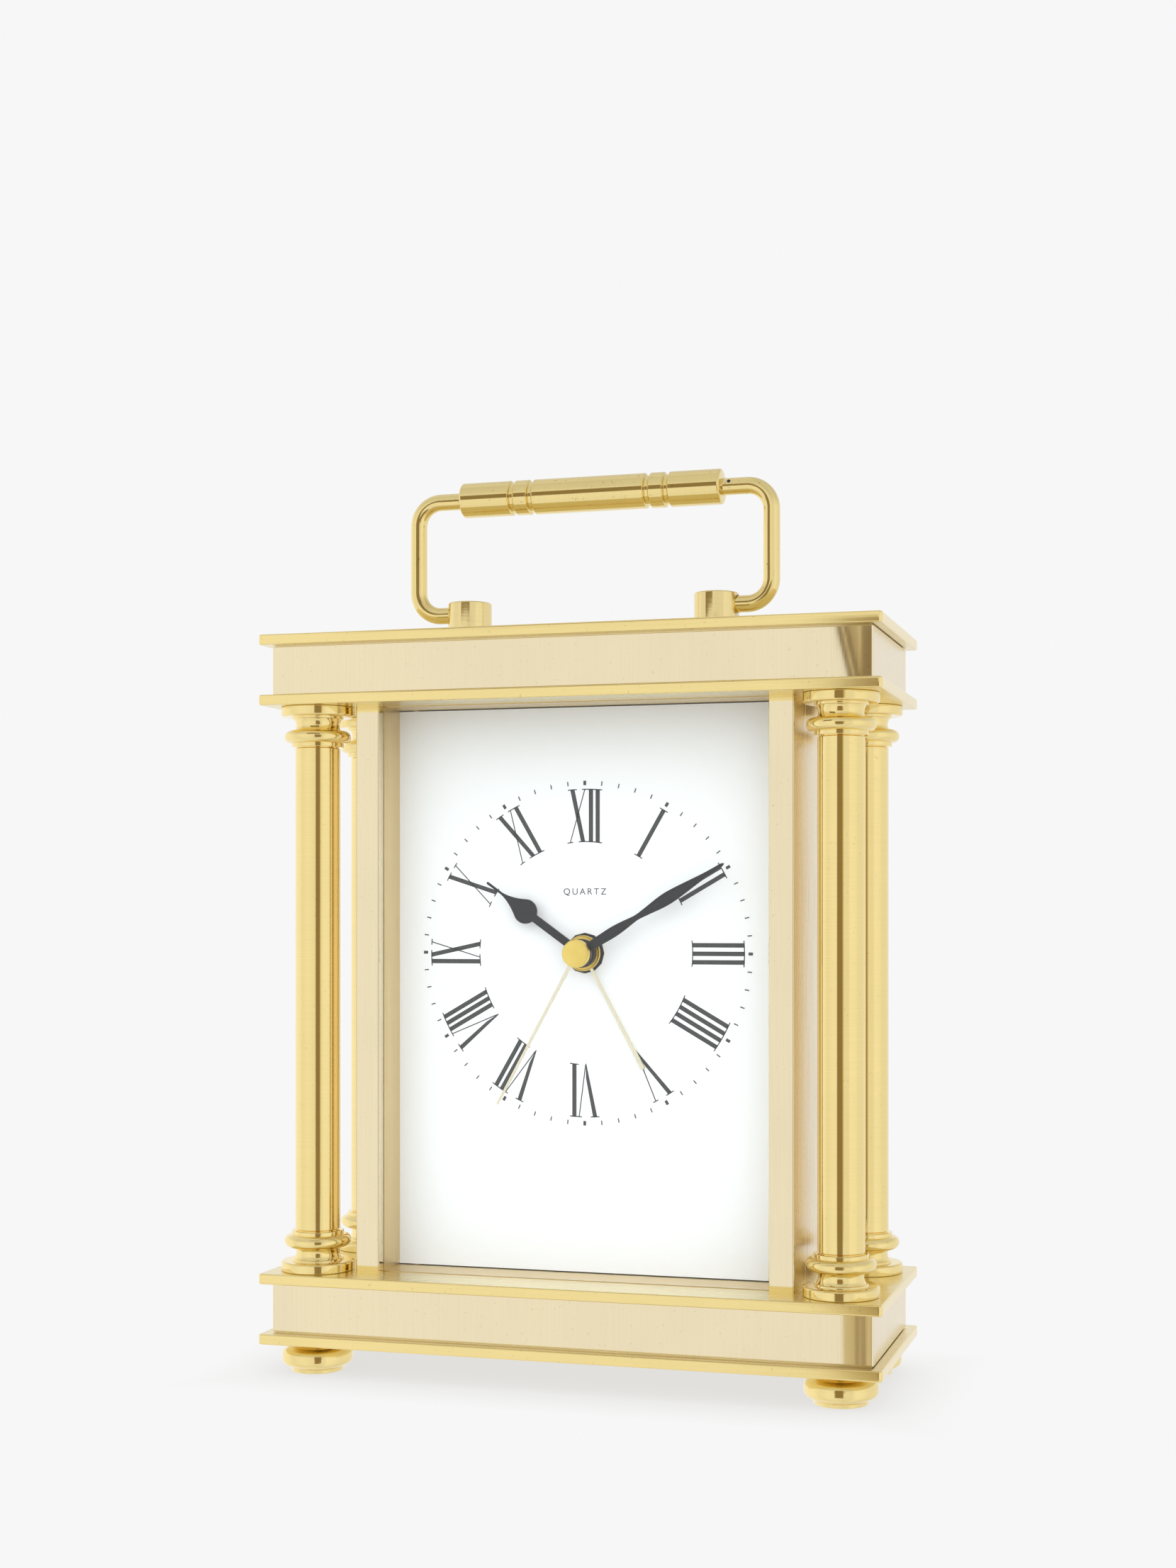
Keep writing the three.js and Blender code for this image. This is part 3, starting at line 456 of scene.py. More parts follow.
def textured_plastic():
    made = Finish("textured_plastic", (0.016, 0.016, 0.018), 0.5)
    spark = made.noise(5200, 3)
    made.tint(made.spread(made.noise(90, 2), 0.4, 0.7, 0, 0.5), (0.028, 0.028, 0.03))
    made.rough(made.spread(spark, 0.3, 0.7, 0.42, 0.62))
    made.bump(spark, 0.8, 0.03)
    return made.material


def moulded_acetal():
    made = Finish("moulded_acetal", (0.80, 0.785, 0.725), 0.38, Subsurface_Weight=0.05)
    return grained(made, made.noise(900, 2), (0.73, 0.71, 0.64), (0.4, 0.7, 0, 0.4), (0.32, 0.46),
                   (0.2, 0.01))


def plated_steel():
    made = Finish("plated_steel", (0.56, 0.565, 0.58), 0.25, 1.0)
    grain = made.noise(1, 2, (3600, 260, 260))
    return grained(made, grain, (0.46, 0.465, 0.48), (0.35, 0.7), (0.2, 0.36), (0.4, 0.004))


def copper_winding():
    made = Finish("copper_winding", (0.62, 0.24, 0.10), 0.3, 1.0)
    turns = made.noise(1, 1, (9000, 60, 60))
    return grained(made, turns, (0.30, 0.09, 0.03), (0.4, 0.6), (0.22, 0.42), (0.9, 0.05))


def solder_resist():
    made = Finish("solder_resist", (0.015, 0.085, 0.035), 0.3)
    tracks = made.noise(1, 0, (900, 900, 140))
    made.tint(made.spread(tracks, 0.52, 0.54, 0, 0.8), (0.04, 0.16, 0.07))
    made.rough(made.spread(tracks, 0.4, 0.6, 0.26, 0.4))
    made.bump(made.spread(tracks, 0.5, 0.56), 0.5, 0.03)
    return made.material


def cell_foil(name, colour):
    made = Finish(name, colour, 0.25, 0.7, Coat_Weight=0.5, Coat_Roughness=0.08)
    grain = made.noise(1, 2, (300, 2600, 2600))
    made.tint(made.spread(grain, 0.35, 0.7, 0, 0.5), shade(colour, 0.8))
    made.rough(made.spread(grain, 0.3, 0.7, 0.2, 0.34))
    made.bump(made.noise(240, 2), 0.15, 0.03)
    return made.material


def brushed_cap():
    made = Finish("brushed_cap", (1.0, 0.75, 0.19), 0.3, 1.0)
    grain = made.noise(1, 2, (700, 700, 700))
    return grained(made, grain, (0.98, 0.72, 0.17), (0.35, 0.7), (0.26, 0.34), (0.1, 0.004))


def window_glass():
    """A clear pane that reflects by its gloss and lets everything else through."""
    made = Finish("window_glass", (0.96, 0.985, 0.98), 0.02)
    clear = made.node("ShaderNodeBsdfTransparent")
    clear.inputs["Color"].default_value = (0.985, 0.992, 0.99, 1)
    gloss = made.node("ShaderNodeBsdfGlossy")
    smear = made.spread(made.noise(60, 3), 0.3, 0.7, 0.0, 0.05)
    made.link(smear, gloss.inputs["Roughness"])
    facing = made.node("ShaderNodeLayerWeight")
    steep = calculate(made.tree, "POWER", facing.outputs["Facing"], 5)
    mix = made.node("ShaderNodeMixShader")
    made.link(made.spread(steep, 0, 1, 0.03, 0.9), mix.inputs["Fac"])
    made.link(clear.outputs["BSDF"], mix.inputs[1])
    made.link(gloss.outputs["BSDF"], mix.inputs[2])
    output = made.tree.nodes["Material Output"]
    made.link(mix.outputs["Shader"], output.inputs["Surface"])
    made.tree.nodes.remove(made.shader)
    return made.material


BRASS_TURNED = brass("brass_turned", POLISHED, 0.075, RINGS_ROUND_Z, 0.004, 0.2)
BRASS_ROD = brass("brass_rod", ROD, 0.1, RINGS_ROUND_X, 0.004, 0.6)
BRASS_POST = brass("brass_post", (0.85, 0.69, 0.32), 0.09, RINGS_ROUND_Z, 0.004, 0.3)
BRASS_PLATE = brass("brass_plate", POLISHED, 0.13, LINES_ALONG_X, 0.006, 0.25)
BRASS_FACE = brass("brass_face", (0.89, 0.765, 0.42), 0.27, LINES_ALONG_X, 0.008, 0.2)
BRASS_SATIN = brass("brass_satin", SATIN, 0.035, LINES_ALONG_Z, 0.0003, 0.15)
LINER = brass("reveal_lining", (0.78, 0.60, 0.29), 0.34, LINES_ALONG_Z, 0.012, 0.3)
BRASS_SIDE = brass("brass_side", (0.88, 0.75, 0.50), 0.24, LINES_ALONG_Z, 0.004, 0.4)
PALE_GOLD = brass("pale_gold", (1.0, 0.93, 0.72), 0.3, LINES_ALONG_Z, 0.003, 0.2)
CAP_GOLD = brushed_cap()
ENAMEL = dial_enamel()
INK = print_ink()
HAND_BLACK = hand_paint()
PLASTIC = textured_plastic()
ACETAL = moulded_acetal()
STEEL = plated_steel()
COPPER = copper_winding()
BOARD = solder_resist()
GLASS = window_glass()
JACKET = cell_foil("cell_jacket", (0.028, 0.04, 0.075))
JACKET_BAND = cell_foil("cell_band", (0.62, 0.40, 0.12))

# ---- case

PLATE_EDGE = 0.3
PLATE_CORNER = 0.7
BLOCK_WALL = 1.5
SEAM = 0.2
# height of the stile end bands that carry a painted reflection
STILE_REFLECTION_BAND = 1.2


def case_plates():
    """Plates with polished edges between brushed faces."""
    for node in ("base_bottom_plate", "base_top_plate", "cornice_lower_plate", "top_plate"):
        bm = node_slab(node, PLATE_CORNER, PLATE_EDGE)
        plate = new_piece(node + "_rounded", bm, BRASS_PLATE, "case", [node])
        paint_faces(plate, BRASS_FACE, lambda face: abs(face.normal.z) > 0.9)


def case_blocks():
    """Hollow blocks, smooth satin in front and duller on the flanks."""
    for node in ("base_plinth", "cornice_block"):
        bm = node_slab(node, 0.4, 0.1, wall=BLOCK_WALL, seam=SEAM)
        block = new_piece(node + "_rounded", bm, BRASS_SATIN, "case", [node])
        paint_faces(block, BRASS_SIDE, lambda face: abs(face.normal.x) > 0.9)


def foot_profile():
    return fillet([
        (0, 0, 0), (5.0, 0, 0.25), (5.2, 0.75, 0.1), (6.8, 1.7, 1.2), (6.8, 3.9, 1.3), (5.3, 4.75, 0.5),
        (4.3, 5.0, 0.3), (4.3, 5.8, 0), (1.65, 5.8, 0), (1.65, 1.8, 0), (0, 1.8, 0),
    ], 6)


def ring_profile():
    """Half section of a column base: disc, neck, torus and collar."""
    torus = arc(5.15, 5.72, 1.22, -128, 118, 16)
    corners = [(1.65, 0, 0), (7.0, 0, 0.2), (7.0, 1.9, 0.5), (4.95, 1.9, 0), (4.8, 2.35, 0.1)]
    neck = arc(6.05, 3.45, 1.9, 218, 148, 8)
    top = fillet([(4.95, 6.85, 0), (4.98, 7.7, 0.12), (1.65, 7.7, 0)], 3)
    return fillet(corners, 5)[:-1] + neck + torus + top


def columns():
    ring = ring_profile()
    for corner in CORNERS:
        centre = node_middle("foot_" + corner)
        centre.z = 0
        foot = lathe(foot_profile(), 72, centre)
        new_piece("foot_turned_" + corner, foot, BRASS_TURNED, "case", ["foot_" + corner])
        for end in ("base", "capital"):
            node = f"column_{end}_{corner}"
            low, high = node_box(node)
            start, way = (low.z, 1) if end == "base" else (high.z, -1)
            profile = [(radius, start + way * height) for radius, height in ring]
            bm = lathe(profile, 72, centre, closed=True)
            new_piece(f"{end}_turned_{corner}", bm, BRASS_TURNED, "case", [node])
        column_shaft(corner, centre)


def column_shaft(corner, centre):
    """Plain shaft with a fine shadow groove where it meets each collar."""
    node = "column_shaft_" + corner
    low, high = node_box(node)
    start = node_box("column_base_" + corner)[1].z
    end = node_box("column_capital_" + corner)[0].z
    radius = (high.x - low.x) / 2
    spigot, neck = 1.5, radius - 0.25
    profile = [
        (0, low.z), (spigot, low.z), (spigot, start), (neck, start), (neck, start + 0.12),
        (radius, start + 0.3), (radius, end - 0.3), (neck, end - 0.12), (neck, end),
        (spigot, end), (spigot, high.z), (0, high.z),
    ]
    new_piece("shaft_turned_" + corner, lathe(profile, 72, centre), BRASS_TURNED, "case", [node])


def case_walls():
    """Stiles with polished end bands, whose yellower colour is a painted reflection, and satin flanks,
    and the side sheets behind them.
    """
    for side, name in SIDES:
        low, high = node_box("front_stile_" + name)
        inner, outer = sorted((abs(low.x), abs(high.x)))
        corners = [(inner, low.y, 0.3), (outer, low.y, 0.3), (outer, high.y, 0.1), (inner, high.y, 0.1)]
        outline = [(side * x, y) for x, y in fillet(corners)]
        levels = (low.z, low.z + STILE_REFLECTION_BAND, high.z - STILE_REFLECTION_BAND, high.z)
        loops = [[(x, y, z) for x, y in outline] for z in levels]
        stile = new_piece(f"stile_{name}_eased", loft(bmesh.new(), loops), BRASS_SATIN, "case",
                          ["front_stile_" + name])
        start, end = levels[1] * MM, levels[2] * MM
        paint_faces(stile, BRASS_SIDE, lambda face: face.normal.x * side > 0.9)
        # the end bands take the yellower plate brass as a painted reflection
        paint_faces(stile, BRASS_PLATE, lambda face: not start < face.center.z < end)
        new_piece(f"side_sheet_{name}", node_slab("side_panel_" + name, 0.2, 0.02), BRASS_SIDE, "case",
                  ["side_panel_" + name])


def front_pane():
    """The clear pane, drawn only as wide as the opening between the stiles."""
    low, high = node_box("front_glass")
    side = abs(node_box("front_stile_left")[1].x) - 0.03
    bm = slab(rectangle(-side, side, low.y, high.y, 0.05), low.z, high.z, 0.05, steps=1)
    new_piece("front_pane", bm, GLASS, "case", ["front_glass"])


def soften(node, material, width):
    """Gives a CAD node a finish and, unless width is 0, a fine bevel."""
    piece = frame["nodes"][node]
    piece.data.materials.clear()
    piece.data.materials.append(material)
    if width:
        piece.modifiers.new("weld", "WELD").merge_threshold = 1e-6
        with_values(piece.modifiers.new("bevel", "BEVEL"), width=width * MM, segments=2,
                    limit_method="ANGLE", angle_limit=math.radians(40), use_clamp_overlap=True,
                    harden_normals=True)


def reveal_liner():
    """Thin satin lining of the recess between the pane and the dial."""
    front, back = node_box("front_glass")[1].y + 0.05, DIAL_FACE
    side = abs(node_box("front_stile_left")[1].x)
    bottom, top = node_box("base_top_plate")[1].z, node_box("cornice_lower_plate")[0].z
    thick = 0.12
    bm = bmesh.new()
    for x0, x1, z0, z1 in ((-side, side, bottom, bottom + thick), (-side, side, top - thick, top),
                           (-side, thick - side, bottom + thick, top - thick),
                           (side - thick, side, bottom + thick, top - thick)):
        slab(rectangle(x0, x1, front, back, 0.04), z0, z1, 0.02, bm=bm, steps=1)
    new_piece("reveal_liner", bm, LINER, "case")


def panel_screws():
    """Four slotted screws that hold the rear panel."""
    low, high = node_box("rear_panel")
    inset = 3.2
    bm = bmesh.new()
    for x in (low.x + inset, high.x - inset):
        for z in (low.z + inset + 1, high.z - inset - 1):
            slotted_screw(bm, (x, high.y, z), 1.6)
    new_piece("rear_panel_screws", bm, BRASS_TURNED, "case")


def slotted_screw(bm, centre, radius):
    """A cheese-head screw that stands proud along +Y, as two halves beside its slot."""
    height = 0.55
    slot = 0.16
    x0, y0, z0 = centre
    for side in (-1, 1):
        reach = math.degrees(math.acos(slot / radius))
        rim = arc(0, 0, radius, 90 - reach, 90 + reach, 14)
        inner = [(x * 0.93, slot + (y - slot) * 0.93) for x, y in rim]
        loops = []
        for points, y in ((rim, 0.0), (rim, height - 0.12), (inner, height)):
            loops.append([(x0 + x, y0 + y, z0 + side * z) for x, z in points])
        loft(bm, loops)
    lathe([(0, 0), (radius * 0.9, 0), (radius * 0.9, 0.2), (0, 0.2)], 24, centre, ALONG_Y, bm=bm)


# ---- handle

ROD_RADIUS = 1.6
ROD_BEND = 4.6
ROD_START = 22.4
ARM_END = 26.1
ARM_Z = node_box("handle_grip")[1].z - 3.45


def handle_posts():
    for side, name in SIDES:
        low, high = node_box("handle_post_" + name)
        centre_x = node_middle("handle_post_" + name).x
        radius = (high.x - low.x) / 2
        profile = fillet([
            (0, low.z, 0), (radius - 0.1, low.z, 0.1), (radius, low.z + 0.25, 0.1), (radius, high.z, 0.3),
            (0, high.z, 0),
        ])
        post = new_piece("post_turned_" + name, lathe(profile, 72, (centre_x, 0, 0)), BRASS_POST, "case",
                         ["handle_post_" + name])
        bore = [(side * (ROD_START - 0.4), 0, FOLD_Z), (side * (abs(centre_x) + radius + 1), 0, FOLD_Z)]
        bm = rod(bmesh.new(), bore, ROD_RADIUS + 0.1, 32)
        drill(post, bm)


def drill(piece, bm):
    """Cuts a bmesh tool, in millimetres, out of a piece."""
    bmesh.ops.recalc_face_normals(bm, faces=bm.faces)
    mesh = to_mesh("tool", bm)
    tool = new_object("tool", mesh)
    cut = with_values(piece.modifiers.new("bore", "BOOLEAN"), operation="DIFFERENCE", solver="EXACT",
                      object=tool)
    bpy.context.view_layer.update()
    shaped = bpy.data.meshes.new_from_object(piece.evaluated_get(bpy.context.evaluated_depsgraph_get()))
    piece.modifiers.remove(cut)
    old = piece.data
    piece.data = shaped
    shaped.name = old.name
    shaped.set_sharp_from_angle(angle=math.radians(35))
    bpy.data.objects.remove(tool)
    bpy.data.meshes.remove(mesh)
    bpy.data.meshes.remove(old)


def handle_arms():
    """Bent rods from the posts up and round to the ends of the grip."""
    for side, name in SIDES:
        low, high = node_box("handle_arm_" + name)
        outer = max(abs(low.x), abs(high.x)) - ROD_RADIUS
        path = [(ROD_START, FOLD_Z)]
        path += arc(outer - ROD_BEND, FOLD_Z + ROD_BEND, ROD_BEND, -90, 0, 14)
        path += arc(outer - ROD_BEND, ARM_Z - ROD_BEND, ROD_BEND, 0, 90, 14)
        path.append((ARM_END - 0.02, ARM_Z))
        bm = rod(bmesh.new(), [(side * x, 0, z) for x, z in path], ROD_RADIUS, 32)
        new_piece("arm_bent_" + name, bm, BRASS_ROD, "handle", ["handle_arm_" + name])


def handle_grip():
    low, high = node_box("handle_grip")
    radius = (high.z - low.z) / 2
    half = high.x
    end_section, groove, band, depth = 10.0, 1.2, 2.6, 0.5
    first = half - end_section
    second = first - groove - band
    corners = [(0, half, 0), (radius, half, 0.45)]
    for start in (first, second):
        corners += [(radius, start, 0.12), (radius - depth, start - 0.3, 0.1),
                    (radius - depth, start - groove + 0.3, 0.1), (radius, start - groove, 0.12)]
    mirrored = [(r, -x, fillet_radius) for r, x, fillet_radius in reversed(corners)]
    profile = fillet(corners + mirrored)
    bm = lathe(profile, 72, node_middle("handle_grip"), ALONG_X)
    new_piece("grip_turned", bm, BRASS_ROD, "handle", ["handle_grip"])


def pin_hole_painted_shade():
    """A black disc in the right arm next to the grip: painted shade where a cross hole would be dark."""
    lean = Matrix.Rotation(math.radians(62), 3, "X")
    low, high = ROD_RADIUS - 0.2, ROD_RADIUS + 0.012
    bm = lathe([(0, low), (0.36, low), (0.36, high), (0, high)], 20, (ARM_END + 1.5, 0, ARM_Z), lean)
    # the black disc is painted shade for the inside of the hole, not a real part
    new_piece("arm_pin_hole", bm, HAND_BLACK, "handle")


# ---- dial print

NUMERALS = ("XII", "I", "II", "III", "IIII", "V", "VI", "VII", "VIII", "IX", "X", "XI")
INNER, OUTER = 21.3, 31.3
THICK, HAIR, SERIF = 0.84, 0.2, 0.2
SERIF_STEPS = 6
TRACK = 32.5
PRINT_PROUD = 0.02


def numeral_strokes(text):
    """Strokes as (x at the outer end, x at the inner end, width), centred on the numeral."""
    alone = set(text) == {"I"}
    pitch = {3: 1.6, 4: 1.48}.get(len(text), 1.6) if alone else 1.34
    strokes = []
    at = 0.0
    for index, letter in enumerate(text):
        after = text[index + 1] if index + 1 < len(text) else ""
        if letter == "I":
            strokes.append((at, at, THICK))
            at += pitch if after == "I" else 1.25
        elif letter == "V":
            strokes += [(at, at + 1.62, THICK), (at + 3.2, at + 1.9, HAIR)]
            at += 4.15
        else:
            strokes += [(at, at + 2.15, THICK), (at + 2.5, at - 0.42, HAIR)]
            at += 3.72
    ends = [x + side * width / 2 for top, bottom, width in strokes for x in (top, bottom)
            for side in (-1, 1)]
    middle = (min(ends) + max(ends)) / 2
    return [(top - middle, bottom - middle, width) for top, bottom, width in strokes]


def serif_spans(feet):
    """Serif lines under stroke feet, given as (x, width); near ones are joined."""
    spans = []
    for x, width in sorted(feet):
        reach = width / 2 + 0.47
        if spans and x - reach < spans[-1][1]:
            spans[-1][1] = max(spans[-1][1], x + reach)
        else:
            spans.append([x - reach, x + reach])
    return spans


def dial_point(x, radius, hour_angle):
    """A point x across and radius out from the shaft, for a mark centred on hour_angle."""
    out = math.sqrt(max(radius ** 2 - x ** 2, 0))
    sine, cosine = math.sin(hour_angle), math.cos(hour_angle)
    return (out * sine + x * cosine, SHAFT_Z + out * cosine - x * sine)


def print_mark(bm, outline, hour_angle):
    points = [dial_point(x, radius, hour_angle) for x, radius in outline]
    flat_plate(points, DIAL_FACE - PRINT_PROUD, DIAL_FACE, bm)


def print_numeral(bm, text, hour_angle):
    strokes = numeral_strokes(text)
    pointed = "V" in text
    for top, bottom, width in strokes:
        outline = [(top - width / 2, OUTER), (top + width / 2, OUTER)]
        # V's thick stroke runs past the foot line to a point
        if pointed and top != bottom and width == THICK:
            outline += [(bottom + 0.2, INNER + 2.6), (bottom + 0.28, INNER - 0.25),
                        (bottom + 0.16, INNER - 0.25)]
        else:
            outline += [(bottom + width / 2, INNER), (bottom - width / 2, INNER)]
        print_mark(bm, outline, hour_angle)
    feet = {OUTER: [(top, width) for top, _, width in strokes],
            INNER: [(bottom, width) for top, bottom, width in strokes
                    if not (pointed and top != bottom)]}
    for radius, ends in feet.items():
        for start, end in serif_spans(ends):
            xs = [start + (end - start) * step / SERIF_STEPS for step in range(SERIF_STEPS + 1)]
            rim = [(x, radius + SERIF / 2) for x in xs] + [(x, radius - SERIF / 2) for x in reversed(xs)]
            print_mark(bm, rim, hour_angle)


def dial_print():
    bm = bmesh.new()
    for hour, text in enumerate(NUMERALS):
        print_numeral(bm, text, math.radians(30 * hour))
    for minute in range(60):
        half = 0.28 if minute % 5 == 0 else 0.11
        low, high = TRACK - 0.43, TRACK + 0.43
        outline = [(-half, high), (half, high), (half, low), (-half, low)]
        print_mark(bm, outline, math.radians(6 * minute))
    new_piece("dial_print", bm, INK, "case", sharp=20)


def dial_word():
    """A plain generic word above the centre, in capitals."""
    curve = with_values(bpy.data.curves.new("dial_word", "FONT"), body="QUARTZ", size=1.75 * MM,
                        space_character=1.35, align_x="CENTER", align_y="CENTER",
                        extrude=PRINT_PROUD * MM / 2)
    curve.materials.append(INK)
    word = new_object("dial_word", curve)
    word.rotation_euler = (math.pi / 2, 0, 0)
    word.location = (0, (DIAL_FACE - PRINT_PROUD / 2) * MM, (SHAFT_Z + 11.7) * MM)
    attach(word, "case")


# ---- hands


def mirrored_outline(right):
    """Closes an outline of (half width, distance) points with its mirror image."""
    return right + [(-x, z) for x, z in reversed(right)]


def spade_outline():
    stem, blob, blob_at, neck_at, tip_at = 0.76, 2.35, 13.7, 19.9, 23.3
    start = math.degrees(math.asin(stem / blob))
    turns = [start + (127 - start) * k / 20 for k in range(21)]
    points = [(stem, 1.5)]
    for turn in map(math.radians, turns):
        points.append((blob * math.sin(turn), blob_at - blob * math.cos(turn)))
    shoulder, shoulder_at = points[-1]
    for step in range(1, 13):
        share = step / 12
        half = 0.2 + (shoulder - 0.2) * (1 - share) ** 1.7
        points.append((half, shoulder_at + (neck_at - shoulder_at) * share))
    return mirrored_outline(points + [(0.23, tip_at - 0.2), (0.1, tip_at)])


def leaf_outline():
    stations = [(0.8, 1.5), (0.93, 5), (1, 8), (0.82, 10.5), (0.52, 13.2), (0.72, 15.6), (1.05, 18.2),
                (1.18, 20.4), (1.02, 23), (0.72, 26), (0.45, 29), (0.3, 32.4)]
    return mirrored_outline(smooth_curve(stations, 5) + [(0.12, 32.9)])


def strip_outline(root, tip, length, start=1.5):
    return mirrored_outline([(root, start), (tip, length - 0.05), (tip - 0.05, length)])


def turned_to(points, degrees):
    """Turns a hand's outline clockwise from twelve, about the shaft."""
    angle = math.radians(degrees)
    sine, cosine = math.sin(angle), math.cos(angle)
    return [(x * cosine + z * sine, SHAFT_Z + z * cosine - x * sine) for x, z in points]


def hand(name, outline, blade, hub_profile, material, body):
    """A flat blade and a turned hub, as one piece."""
    bm = bmesh.new()
    points = turned_to(outline, HAND_DEGREES[name])
    flat_plate(points, blade[0], blade[1], bm, 0.06)
    lathe(hub_profile, 56, (0, 0, SHAFT_Z), ALONG_Y, closed=hub_profile[0][0] > 0, bm=bm)
    return new_piece(name + "_hand_fine", bm, material, body, [name + "_hand"])


def hub(radius, bore, front, back, ease=0.15):
    """Closed profile of a bored hub between two places along Y."""
    return fillet([(bore, front, 0), (radius, front, ease), (radius, back, 0.05), (bore, back, 0)])


def hands():
    hand("hour", spade_outline(), (-6.7, -6.3), hub(2.75, 1.92, -7.1, -5.8), HAND_BLACK, "hour_works")
    hand("minute", leaf_outline(), (-8.3, -7.9), hub(2.6, 1.37, -8.7, -7.4), HAND_BLACK, "minute_works")
    alarm = hand("alarm", strip_outline(0.32, 0.42, 24.9, 2.5), (-5.2, -4.9), alarm_ring(), PALE_GOLD,
                 "alarm_works")
    shaft = Vector((0, SHAFT_Z * MM))
    paint_faces(alarm, CAP_GOLD, lambda face: (face.center.xz - shaft).length < 3.5 * MM)
    hand("second", strip_outline(0.35, 0.22, 32.8), (-9.5, -9.2), hub(2.5, 0.77, -9.6, -9.05, 0.1),
         PALE_GOLD, "second_train")
    cap = fillet([(0, -10.2, 0), (2.65, -10.2, 0.22), (2.65, -9.1, 0.05), (1.0, -9.1, 0), (1.0, -9.58, 0),
                  (0, -9.58, 0)], 5)
    bm = lathe(cap, 64, (0, 0, SHAFT_Z), ALONG_Y)
    new_piece("second_cap", bm, CAP_GOLD, "second_train")


def alarm_ring():
    """Stepped ring with a bright raised rim."""
    return fillet([(2.42, -5.5, 0), (2.9, -5.5, 0.05), (2.95, -5.3, 0.03), (3.15, -5.3, 0.03),
                   (3.2, -5.5, 0.06), (3.4, -5.5, 0.08), (3.4, -4.6, 0.05), (2.42, -4.6, 0)], 3)


# ---- movement

FLUTES = 14
FLUTE_DEPTH = 0.3


def setting_knobs():
    """Fluted shells over the plain knobs, each with a dished end and a thumb bar."""
    cover = node_box("movement_cover")[1].y
    for node, joint, body, radius in (("time_set_knob", "time_set_spin", "time_knob", 4.2),
                                      ("alarm_set_knob", "alarm_set_spin", "alarm_knob", 3.8)):
        x, _, z = joint_place(joint)
        front = cover + 0.25
        back = node_box(node)[1].y + 0.5

        def fluted(angle, reach, radius=radius):
            near_rim = max(0.0, reach - radius + 0.9) / 0.9
            return reach - FLUTE_DEPTH * near_rim * (0.5 - 0.5 * math.cos(FLUTES * angle))

        profile = fillet([
            (0, front, 0), (radius - 0.4, front, 0), (radius, front + 0.4, 0.2), (radius, back, 0.5),
            (radius - 1.1, back, 0.2), (radius - 1.4, back - 0.4, 0.2), (0, back - 0.4, 0),
        ])
        bm = lathe(profile, 224, (x, 0, z), ALONG_Y, flutes=fluted)
        reach = radius - 1.7
        bar = rectangle(x - reach, x + reach, z - 0.35, z + 0.35, 0.3)
        slab(bar, back - 0.45, back - 0.05, 0.1, turn=ALONG_Y, bm=bm)
        new_piece(node + "_fluted", bm, PLASTIC, body)


def cover_marks():
    """Raised arrows round the knobs, and a small alarm bell mark."""
    cover = node_box("movement_cover")[1].y
    bm = bmesh.new()
    for joint, radius in (("time_set_spin", 5.6), ("alarm_set_spin", 5.2)):
        centre = joint_place(joint)
        curved_arrow(bm, centre.x, centre.z, radius, cover)
    bell_mark(bm, -10.8, SHAFT_Z + 10.2, cover)
    new_piece("cover_marks", bm, PLASTIC, "case")


def curved_arrow(bm, x, z, radius, cover):
    start, end, half = 55, 125, 0.22
    ring = arc(x, z, radius + half, start, end, 12) + arc(x, z, radius - half, end, start, 12)
    raise_mark(bm, ring, cover)
    head = ((radius + 0.75, end), (radius, end + 14), (radius - 0.75, end))
    raise_mark(bm, [arc(x, z, reach, turn, turn, 1)[0] for reach, turn in head], cover)


def bell_mark(bm, x, z, cover):
    """A small alarm bell outline."""
    dome = arc(x, z, 1.0, 0, 180, 10)
    raise_mark(bm, [(x + 1.3, z - 1.1)] + dome + [(x - 1.3, z - 1.1)], cover)
    raise_mark(bm, arc(x, z - 1.45, 0.3, 0, 340, 10), cover)


def raise_mark(bm, points, cover):
    loops = [[(x, y, z) for x, z in points] for y in (cover - 0.1, cover + 0.15)]
    loft(bm, loops)


def alarm_switch():
    """A slider cap with grip ridges: plate, neck and cap, then the ridges on top."""
    low, high = node_box("alarm_switch")
    centre, _, middle = node_middle("alarm_switch")
    # offset and half width along X, half height, corner, front, back, eased rim
    parts = [(0, (high.x - low.x) / 2, 2, 0.3, low.y, low.y + 0.6, 0.08),
             (0, 1.5, 1.1, 0.2, low.y + 0.3, high.y - 0.9, 0.05),
             (0, 2, 1.9, 0.35, high.y - 1.3, high.y - 0.35, 0.15)]
    parts += [(offset, 0.2, 1.6, 0.15, high.y - 0.5, high.y, 0.1) for offset in (-1.2, -0.4, 0.4, 1.2)]
    bm = bmesh.new()
    for offset, half, tall, corner, front, back, rim in parts:
        x = centre + offset
        outline = rectangle(x - half, x + half, middle - tall, middle + tall, corner)
        slab(outline, front, back, rim, turn=ALONG_Y, bm=bm)
    new_piece("alarm_switch_ridged", bm, PLASTIC, "switch", ["alarm_switch"])


